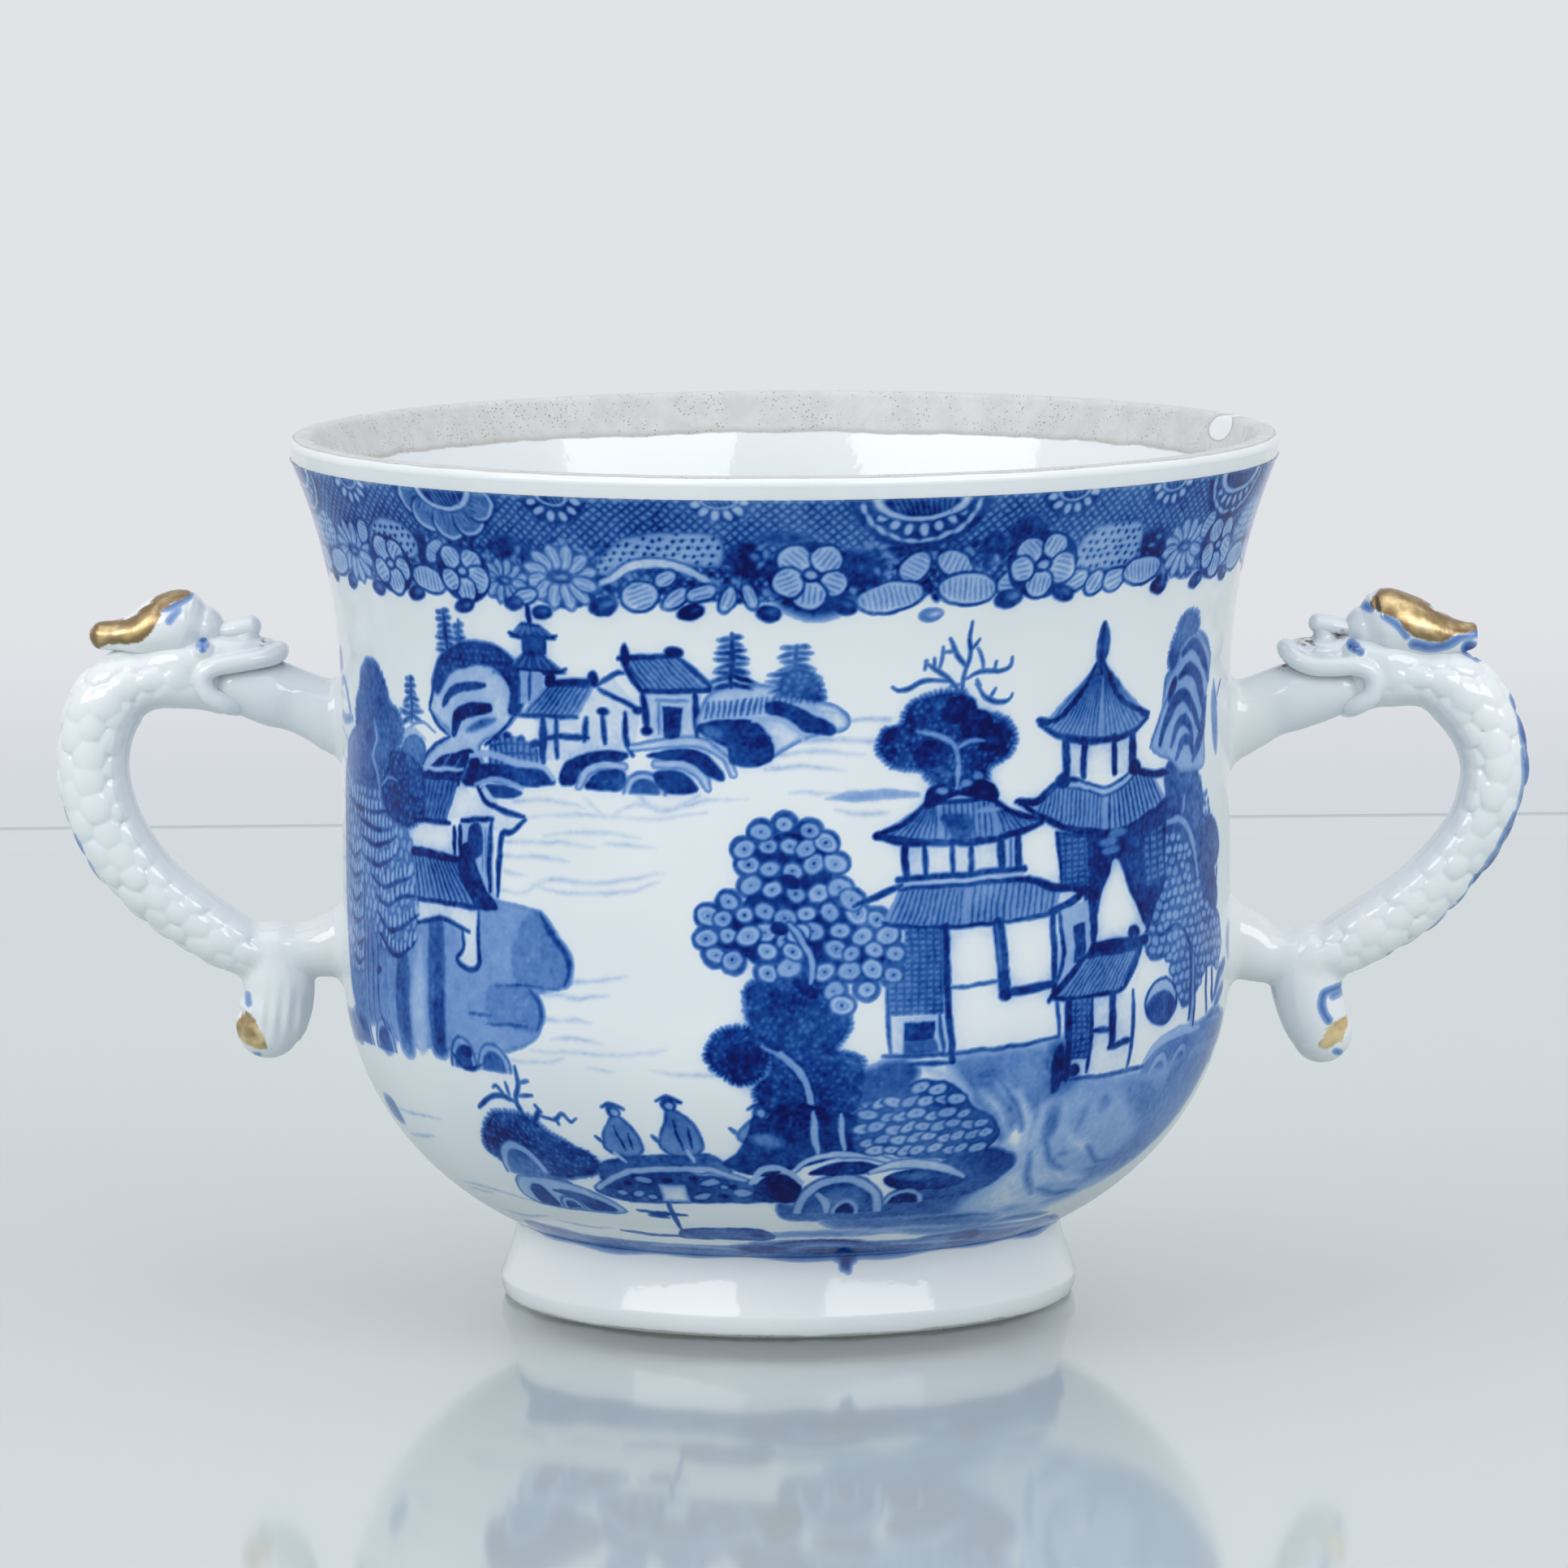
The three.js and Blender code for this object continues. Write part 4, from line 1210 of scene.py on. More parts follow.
def paint_border(c):
    """The band under the lip: blossoms and leaves on a dark ground, half medallions hanging from above."""
    girth = np.arange(-73.6, 74, 1.6)
    low = [(s, 78.0 + 0.35 * math.sin(s * 0.9) + 0.25 * math.sin(s * 2.3)) for s in girth]
    girth = np.arange(73.6, -74, -1.6)
    high = [(s, 89.1 + 0.2 * math.sin(s * 1.7) + 0.15 * math.sin(s * 4.1)) for s in girth]
    c.patch(low + high, 0.55, soft=0.4)
    c.lattice(low + high, 0.76, 0.76, 0.3, 0.76, 42, 0.27)
    for s, t, long, high_by, lean in BORDER_SHADES:
        c.dab(s, t, long, high_by, lean, 0.8, soft=1.2)
    for s, t in c.spread("-735,784 735,784 735,832 -735,832", 1.15):
        c.dab(s, t, 1.0, 0.6, c.chance.uniform(0, 180), c.chance.choice([0.3, 0.82, 0.9]), cut=True,
            soft=0.3)
    for corners in BORDER_DIAPERS:
        c.wash(corners, 0.14, edge=0.5)
        for s, t in c.spread(corners, 0.98, 0.25):
            c.dab(s, t, 0.5, 0.4, 60, 0.8)
            c.dab(s + 0.42, t + 0.1, 0.3, 0.22, 60, 0.45)
    stem = "-192,789 -170,802 -145,815 -115,817 -88,808 -66,790"
    c.stroke(stem, 1.5, 0.6, taper=0.7)
    c.wipe(stem, 1.0, 0.05, taper=0.7)
    top = 89.0
    for s, rise, long, wide, reach in BORDER_MEDALLIONS:
        c.dab(s, top, 2.1 * wide, 2.04 * reach, 0, 0.8, cut=True, soft=0.5)
        rings = [(0.86, 17, 1.7, 0.55, 90), (0.64, 20, 1.45, 0.85, 0)]
        if wide < 4:
            rings = [(0.74, 30, 1.25, 0.8, 0)]
        if s == BROAD_PETALLED:
            rings = []
            for angle in (200, 232, 268, 304, 338):
                a = math.radians(angle)
                ps, pt = around(s, top, wide * 0.7, reach * 0.72, a)
                c.leaf(ps, pt, 3.6, 3.9, angle, 0.08, 0.3, 0.85, along=True)
                c.leaf(ps - 0.35 * math.cos(a), pt - 0.35 * math.sin(a), 2.9, 3.1, angle, 0.48, 0.78, 0.5,
                    along=True)
        for factor, step, size, thick, turn in rings:
            for angle in np.radians(np.arange(188 + step / 3, 354, step)):
                ps, pt = around(s, top, wide * factor, reach * factor, angle)
                lean = math.degrees(math.atan2(reach * math.sin(angle), wide * math.cos(angle))) + turn
                c.dab(ps, pt, size * c.chance.uniform(0.85, 1.1), thick, lean, 0.08, cut=True)
        c.dab(s, top, long * 1.35, rise * 1.35, 0, 0.72, cut=True)
        c.dab(s, top, long * 1.25, rise * 1.25, 0, 0.06, cut=True)
        c.dab(s, top, long, rise, 0, 0.88, cut=True)
        for k in np.arange(-3, 3.1, 0.6):
            if abs(k) < long * 0.42:
                c.wipe([(s + k, top), (s + k * 0.8 + 0.4, top - rise * 0.42)], 0.22, 0.45)
    for s, t, r in BORDER_DAISIES:
        c.dab(s, t, r * 2.05, r * 1.6, 0, 0.75, cut=True)
        for angle in np.radians(np.arange(12, 372, 30)):
            ps, pt = around(s, t, r * 0.66, r * 0.52, angle)
            c.leaf(ps, pt, r * 0.62, r * 0.3, math.degrees(angle), 0.1, 0.35, 0.62, along=True)
        c.dab(s, t, r * 0.62, r * 0.34, 0, 0.75, cut=True)
        c.dab(s + 0.15, t - 0.05, r * 0.3, r * 0.14, 0, 0.3, cut=True)
    for s, t, long, wide, lean, along in BORDER_LEAVES:
        c.leaf(s, t, long, wide, lean, 0.08, 0.42, 0.8, along=along)
    for s, t, r in BORDER_BLOSSOMS:
        c.dab(s, t, r * 4.2, r * 3.8, 0, 0.85)
        for k in range(5):
            angle = 128 - 72 * k + 9 * math.sin(s + k)
            a = math.radians(angle)
            size = 1 + 0.12 * math.sin(s * 3 + k * 2)
            ps, pt = around(s, t, r * 1.22, r * 1.1, a)
            c.leaf(ps, pt, r * 1.45 * size, r * 1.5 * size, angle, 0.08, 0.44, 0.86, along=True)
        c.dab(s, t, r * 1.05, r * 0.85, 0, 0.85)
        c.dab(s, t, r * 0.62, r * 0.45, 0, 0.15, cut=True)
    for s, t, long, wide, lean, tone in BORDER_DROPS:
        c.dab(s, t, long + 0.3, wide + 0.3, lean, tone, cut=True)
        c.dab(s + long * 0.16, t + wide * 0.1, long * 0.5, wide * 0.42, lean, tone - 0.35, cut=True,
            soft=0.4)
    c.patch("-736,889.5 736,889.5 736,920 -736,920", 0.0, soft=1.0)
    c.stroke("-745,893 745,893", 1.5, 0.08, taper=0, soft=1.2)


# The border's marks: each row's place in millimetres of girth and height, then its sizes, lean and tone,
# in the order in which paint_border reads them
BROAD_PETALLED = -34.6
BORDER_SHADES = [(6.5, 81, 5, 7, 90), (12.5, 83.2, 12, 1.8, 0), (20.5, 83, 3.4, 4, 0),
    (-3.3, 82.2, 4.8, 4.6, 0), (24, 84.5, 5, 4.4, 0), (32, 82, 3, 4, 0), (-28, 83, 5, 3, 0),
    (-18, 80, 2, 4, 40), (0, 84.6, 6, 2, 0), (3, 80, 9, 8, 0), (40, 82, 6, 4, 0), (50, 82, 7, 4, 0),
    (60, 82, 6, 4, 0), (-40, 82, 6, 4, 0), (-50, 82, 7, 4, 0), (-60, 82, 6, 4, 0), (-70, 82, 6, 4, 0),
    (70, 82, 6, 4, 0)]
BORDER_DIAPERS = ["-188,802 -174,832 -140,849 -95,854 -59,846 -62,816 -95,816 -130,822", "296,802 310,840 "
    "340,849 380,844 382,806 340,796", "576,810 592,844 626,852 660,842 666,814 620,804", "-666,810 "
    "-654,844 -616,850 -576,840 -572,810 -620,802", "-486,814 -466,846 -430,850 -404,834 -406,810 -446,806"]
BORDER_MEDALLIONS = [(-22.0, 2.0, 2.6, 3.2, 3.3), (-6.0, 1.8, 2.9, 3.0, 2.5), (12.8, 4.2, 7.6, 6.6, 5.6),
    (28.2, 2.0, 2.8, 3.2, 2.9), (-34.6, 4.0, 5.6, 6.4, 5.4), (41.0, 2.0, 2.8, 3.2, 2.9),
    (54.0, 4.2, 7.6, 6.6, 5.6), (-49.0, 2.0, 2.6, 3.2, 3.0), (-64.0, 4.2, 7.6, 6.6, 5.6),
    (69.0, 2.0, 2.8, 3.2, 2.9)]
BORDER_DAISIES = [(-22.6, 80.0, 4.2), (-29.2, 79.2, 2.8), (46.0, 81.2, 3.8), (-53.0, 80.6, 4.0),
    (70.0, 81.0, 3.6)]
BORDER_BLOSSOMS = [(2.5, 80.6, 1.95), (26.3, 80.9, 1.95), (-34.4, 79.8, 1.7), (53.6, 80.6, 1.9),
    (-45.6, 79.8, 1.7), (-70.6, 80.4, 1.8)]
BORDER_LEAVES = [(12.6, 81.2, 3.6, 2.6, 50, False), (16.6, 81.4, 3.8, 2.4, 150, False),
    (10.4, 78.1, 6.6, 3.0, 8, False), (18.2, 78.7, 6.0, 3.3, -4, False), (22.6, 79.0, 2.6, 2.2, 70, False),
    (-14.4, 78.2, 3.8, 2.9, 20, True), (-11.6, 80.1, 2.4, 1.4, 30, True), (-10.8, 78.0, 3.2, 1.4, 40, True),
    (-8.2, 78.6, 3.0, 1.5, 20, True), (-5.6, 77.9, 2.6, 1.3, 70, True), (-3.4, 78.4, 2.6, 1.2, 110, True),
    (-27.0, 77.6, 3.0, 1.4, 20, True), (30.6, 79.0, 2.8, 2.2, 30, True), (33.0, 78.4, 2.6, 2.0, 60, True),
    (35.6, 78.6, 3.0, 2.2, 20, True), (39.6, 79.2, 5.4, 2.8, 6, False), (60.4, 78.8, 5.8, 2.9, 8, False),
    (65.6, 78.8, 4.2, 2.4, -10, False), (-39.6, 78.6, 4.8, 2.5, -10, False),
    (-58.6, 78.8, 5.6, 2.8, 8, False), (-64.4, 78.7, 5.0, 2.6, -8, False),
    (-49.6, 83.0, 3.0, 2.0, 60, False), (49.8, 83.2, 3.0, 2.0, 60, False),
    (-37.8, 81.8, 3.4, 1.8, 40, False)]
BORDER_DROPS = [(5.8, 77.2, 2.4, 1.5, -20, 0.92), (14.6, 76.1, 2.2, 1.2, 10, 0.4),
    (22.8, 77.3, 3.0, 1.7, 10, 0.75), (29.2, 77.6, 2.4, 1.3, -10, 0.92), (-1.6, 76.5, 2.2, 1.4, -10, 0.85),
    (-9.3, 76.6, 2.6, 1.3, 15, 0.92), (-18.3, 77.0, 2.9, 1.9, 15, 0.8), (-25.2, 76.1, 1.9, 1.1, 10, 0.92),
    (-28.4, 76.8, 2.2, 1.3, 10, 0.8), (-35.0, 76.2, 2.6, 1.2, 20, 0.85), (42.8, 77.2, 2.4, 1.4, 0, 0.85),
    (50.0, 77.2, 2.6, 1.4, 10, 0.9), (57.0, 77.2, 2.4, 1.4, -10, 0.85), (68.0, 77.2, 2.6, 1.4, 10, 0.85),
    (-42.0, 77.0, 2.4, 1.3, 10, 0.85), (-49.0, 76.9, 2.6, 1.4, 0, 0.9), (-55.6, 77.0, 2.4, 1.4, 10, 0.85),
    (-61.6, 77.2, 2.6, 1.4, -10, 0.85), (-67.6, 77.2, 2.4, 1.4, 10, 0.85), (-73.0, 77.4, 2.0, 1.2, 0, 0.85)]


def conifer(c, s, t, rise, spread, tone=0.72):
    """Short level dabs up a stem, wider toward its foot."""
    c.stroke([(s, t), (s + 0.1, t + rise)], 0.6, tone)
    for k in np.arange(0, rise, 0.7):
        half = spread * (1 - 0.55 * k / rise) * c.chance.uniform(0.75, 1.2)
        c.dab(s - half * 0.44, t + k, half * 1.25, 0.52, c.chance.uniform(-6, 24),
            tone * c.chance.uniform(0.75, 1.05))
        c.dab(s + half * 0.44, t + k + 0.2, half * 1.25, 0.52, c.chance.uniform(-24, 6),
            tone * c.chance.uniform(0.75, 1.05))


def robed_figure(c, s, t, rise, lean):
    """A walker as a few brush marks: a robe that widens downward and a plain round head."""
    tip = (s + lean, t + rise)
    robe = [(s - 2.3, t + 1.2), (s - 1.5, t + rise * 0.72), tip, (s + 1.9, t + rise * 0.7),
        (s + 2.6, t + 1.2), (s + 0.4, t)]
    c.wash(robe, 0.44, fade_to=0.28, edge=0.7)
    c.stroke([(s - 2.2, t + 1.8), (s - 3.0, t + 2.6)], 0.45, 0.6)
    c.dab(tip[0], tip[1] + 0.3, 1.7, 1.6, 0, 0.74)
    c.dab(tip[0] + 0.1, tip[1] + 0.2, 0.9, 0.8, 0, 0.2, cut=True)
    c.stroke([(tip[0] - 1.3, tip[1] + 0.7), (tip[0], tip[1] + 1.2), (tip[0] + 1.4, tip[1] + 0.6)], 0.42,
        0.78)
    c.strokes(0.35, 0.82, [(s - 0.5, t + rise * 0.75), (s + 0.3, t + 1.0)], [(s + 1.1, t + rise * 0.62),
        (s + 1.3, t + 1.2)])


def water(c, tone, *lines):
    c.strokes(0.45, tone * 0.55, *lines, taper=0.8, soft=0.8)


def crescent(c, dark, pale):
    """A rock's shadow as a filled outline, with the pale ridge over it as a wiped line."""
    c.wash(dark, 0.88, edge=0.96)
    c.stroke(pale, 1.15, 0.5, taper=0.3)
    c.wipe(pale, 0.75, 0.06, taper=0.4)


def paint_shore(c):
    """The bank round the foot: wash bands, the bridge with its walkers, bush, bare tree and boulders."""
    c.wash("-520,16 -460,46 -400,44 -340,35 -200,33 -90,34 -40,46 30,51 100,49 130,42 240,44 290,58 330,56 "
        "400,52 450,54 520,32 600,14 600,-10 -600,-10", 0.52, fade_to=0.36, edge=0.6, soft=0.8)
    for s, t, long, wide, tone in [(-41, 3.4, 9, 2.2, 0.62), (-30, 2.3, 12, 1.6, 0.62),
        (-16, 2.2, 16, 1.5, 0.6), (-4, 2.7, 9, 2.6, 0.8), (7, 1.9, 14, 2.2, 0.8), (19, 2.0, 14, 2.2, 0.66),
        (28.6, 3.4, 6, 4.2, 0.82), (38, 3.0, 9, 2.6, 0.66)]:
        c.dab(s, t, long, wide, 0, tone, soft=1.0)
    c.wipe("0,30 30,35 70,37 106,31", 0.7, 0.22, taper=0.8, soft=0.4)
    c.stroke("-20,42 30,49 80,48 125,38", 0.7, 0.78)
    water(c, 0.3, "-530,109 -490,113 -440,112 -370,103", "-520,102 -450,105", "-580,170 -490,182",
        "-560,206 -450,210", "-360,66 -300,60 -260,65", "-500,65 -430,64 -370,74")
    c.wash("-612,190 -574,186 -568,215 -590,219 -615,209", 0.45, soft=0.9)
    c.stroke("-250,61 -200,56 -155,57", 0.65, 0.55)
    c.wash("-158,55 -152,71 -120,77 -80,79 -45,78 -26,70 -18,58 -40,50 -80,53 -130,51", 0.58, fade_to=0.5,
        edge=0.74)
    c.dab(-4.4, 6.4, 3.4, 1.4, -10, 0.74, soft=0.6)
    # bank under the boulders, to the right
    c.wash("-10,126 40,114 120,124 180,132 250,130 274,114 264,98 140,96 40,95 -5,98", 0.58, fade_to=0.48,
        edge=0.64, soft=0.6)
    c.wash("50,96 150,97 260,98 310,88 300,62 240,52 170,62 120,74 60,80", 0.4, soft=1.2)
    c.wipe("-5,84 24,85 44,76", 1.5, 0.03, soft=0.5)
    c.wipe("60,69 100,69 160,61", 0.9, 0.14, soft=0.5)
    # wash that runs up to the right
    c.wash("230,120 270,170 290,240 360,250 460,256 580,270 630,260 610,200 550,146 490,114 420,84 360,70 "
        "290,80 230,94", 0.12, soft=2.0)
    c.wash("330,260 440,260 520,266 600,270 614,230 570,174 500,126 440,110 380,116 346,150 334,200", 0.2,
        soft=2.0)
    c.wash("404,254 466,250 510,220 534,176 506,142 450,124 406,134 456,160 474,190 440,220", 0.42,
        soft=2.0)
    c.wash("500,260 620,266 606,204 554,156 500,128 486,160", 0.4, soft=2.0)
    for s, t, long, wide, lean, tone in [(31, 22.4, 5.4, 2.2, 90, 0.66), (35.4, 22, 5, 1.8, 84, 0.5),
        (38.4, 23.4, 3, 2.4, 90, 0.5), (35, 17.4, 3.4, 1.2, 8, 0.56), (43, 14.2, 6, 1.6, 6, 0.66),
        (36.6, 12.6, 5, 1.2, 4, 0.42), (40, 9.8, 6, 1.2, 10, 0.4), (32.6, 9.4, 5, 1.4, 4, 0.44),
        (47, 22, 4, 2, -40, 0.7), (54, 19.6, 5, 2, 40, 0.58), (57, 23.6, 5, 1.6, 20, 0.56)]:
        c.dab(s, t, long, wide, lean, tone * 0.75, soft=1.6)
    c.wipes(1.5, 0.1, "330,208 360,186 400,176", "266,170 296,146 330,130", "340,160 374,136 420,130",
        "280,126 314,106 360,98", "256,200 276,164 286,130", soft=1.4)
    c.strokes(0.9, 0.55, "310,196 334,166 366,150", "294,180 310,144 336,116", "384,180 420,156 460,150",
        "340,124 380,110 430,108", soft=1.2)
    for s0, s1, t, tone in [(-8, 4, 1.2, 0.7), (2, 22, 0.9, 0.74), (14, 36, 2.4, 0.62), (20, 34, 4.2, 0.72),
        (26, 44, 1.0, 0.6), (-30, -12, 1.0, 0.5), (-6, 14, 6.2, 0.36), (12, 30, 8.4, 0.5),
        (30, 42, 6.4, 0.4), (38, 54, 2.4, 0.45)]:
        c.stroke([(s0, t), ((s0 + s1) / 2, t + 0.5), (s1, t + 0.1)], 1.2, tone, taper=0.9, soft=0.9)
    c.wipes(0.7, 0.14, "160,34 220,30 300,24", "-220,26 -140,30 -80,24", "300,52 360,46 420,44", "80,64 "
        "160,72 240,68", soft=0.8)
    # bush and rocks to the left of the bridge
    c.foliage("-386,186 -372,208 -354,226 -330,232 -300,229 -279,212 -254,199 -232,189 -226,173 -240,161 "
        "-274,153 -300,153 -340,160 -374,170", 0.9, 0.45)
    c.arch(-33.8, 14.9, 7.2, 4.8, 0.62, 0.14, 0.85, 0.2, 0.5)
    c.stroke("-318,150 -280,142", 1.5, 0.5)
    c.wash("-376,112 -372,134 -354,148 -310,148 -270,141 -240,128 -220,112 -220,99 -280,96 -350,99", 0.12,
        edge=0.52)
    c.wash("-356,114 -349,132 -330,136 -322,120 -320,101 -350,102", 0.66, fade_to=0.72)
    c.wash("-314,129 -280,129 -250,120 -229,103 -270,100 -278,110 -294,120", 0.7, fade_to=0.78)
    c.arch(-29.7, 10, 3.6, 2.0, 0.75, 0.12, 0.55, 0.1, 0.6)
    # bare tree over the bush
    c.strokes(0.6, 0.75, "-298,216 -306,232 -310,249 -303,266 -304,286", "-310,246 -330,252 -352,246 "
        "-370,234", "-296,218 -284,238")
    c.strokes(0.42, 0.68, "-304,269 -290,272", "-304,254 -286,256", "-324,252 -334,263 -340,260",
        "-318,254 -320,268", "-288,234 -266,230 -254,238 -244,229 -236,234", "-264,232 -262,226",
        "-282,238 -286,244")
    # rocks under the bridge
    c.wash("-246,136 -214,158 -180,170 -120,172 -70,164 -34,154 -26,129 -80,126 -140,123 -200,121", 0.66,
        edge=0.72)
    for s, t, long, wide, lean in [(-17.3, 15.8, 2.1, 1.0, -8), (-18.6, 13.6, 1.7, 0.9, 20),
        (-20.8, 13.6, 1.4, 0.8, 0), (-9.2, 15.8, 2.2, 0.9, 8), (-10.4, 13.6, 2.4, 0.9, 18),
        (-5.4, 14.3, 2.4, 1.0, 0), (-16.9, 13.2, 1.1, 0.7, 0), (-7.6, 15.2, 1.0, 0.6, 0)]:
        c.dab(s, t, long + 0.5, wide + 0.5, lean, 0.84, cut=True)
        c.dab(s, t, long, wide, lean, 0.2, cut=True)
    c.patch("-158,125 -157,152 -123,153 -121,125", 0.04, edge=0.3)
    c.dabs(1.5, 0.8, 10, 0.97, "-144,159 -110,164 -78,138 -64,152 -34,152 -196,152")
    # the bridge
    c.wash("-226,174 -206,185 -170,192 -120,196 -90,197 -74,189 -64,172 -100,176 -150,174 -190,166 "
        "-226,150", 0.56, edge=0.68)
    c.stroke("-242,139 -216,156 -184,170 -144,175 -100,177 -76,171 -46,160", 1.2, 0.6, taper=0.3)
    c.wipe("-240,140 -216,156 -184,170 -144,175 -100,177 -76,171 -50,162", 0.8, 0.1, taper=0.3)
    robed_figure(c, -18.8, 18.8, 5.4, -0.3)
    robed_figure(c, -11.9, 19.2, 6.2, -0.8)
    robed_figure(c, -3.2, 20.4, 4.2, 0.3)
    c.wipes(0.5, 0.06, "-200,194 -189,182", "-112,202 -106,187")
    # a small boat moored to a pier post
    c.stroke("-152,124 -151,73", 0.7, 0.62)
    c.stroke("-200,106 -170,104 -134,101", 0.5, 0.7)
    c.dab(-17, 10.2, 2.8, 1.1, 4, 0.78)
    c.stroke("-186,98 -160,96", 0.5, 0.5)
    # boulders at the foot of the great tree
    c.wash("-72,182 -56,200 -44,222 -36,246 -24,242 -10,254 14,260 80,240 90,200 50,192 0,176 -30,168",
        0.86, edge=0.95)
    c.dab(-2.2, 21.6, 1.6, 3.2, 80, 0.45, cut=True, soft=0.6)
    c.wash("-40,132 -36,156 -20,170 2,168 16,154 12,129 -16,128", 0.88, edge=0.95)
    crescent(c, "24,172 50,186 85,185 108,177 80,169 40,170", "6,174 20,189 50,197 90,194 120,184")
    c.wipe("-42,158 -30,177 -12,180 4,170 16,158", 0.9, 0.08, taper=0.3)
    c.arch(6.3, 10.8, 11.4, 6.2, 0.8, 0.12, 1.1, 0.2, 0.5)
    c.wash("46,144 86,148 90,126 54,122", 0.5, soft=0.8)
    c.wipe("35,140 46,126 49,112", 1.0, 0.14, taper=0.4)
    c.arch(7.2, 10.7, 3.6, 2.6, 0.92, 0.16, 0.6, 0.0, 0.4)
    # foliage under the boulders' ridge, and the dark ground to its right
    c.wash("190,186 236,196 274,180 276,162 250,136 210,126 150,128 130,150 160,170", 0.72, fade_to=0.62,
        edge=0.76, soft=0.6)
    c.wash("114,164 144,174 186,168 214,152 200,142 150,142 120,150", 0.86, edge=0.97)
    c.dab(15, 16.3, 5, 1.2, -4, 0.5, cut=True, soft=0.6)
    c.stroke("94,172 120,180 142,182 174,174 200,165 214,156", 1.5, 0.55, taper=0.5)
    c.wipe("96,172 120,180 142,182 174,174 200,165 213,157", 1.1, 0.07, taper=0.5)
    c.arch(14.4, 12.1, 5.2, 2.4, 0.93, 0.12, 0.65, 0.0, 0.5)
    c.pebbled("78,199 71,224 80,252 106,268 136,281 168,279 190,264 204,248 226,236 242,216 236,199 "
        "214,188 180,184 146,189 108,196", 1.72, 1.9, 1.02, 0.13, 0.6, 12, 0.74, 0.34)
    c.wipes(0.75, 0.1, "27,250 29,224 32,200", "57,246 59,220 63,204")


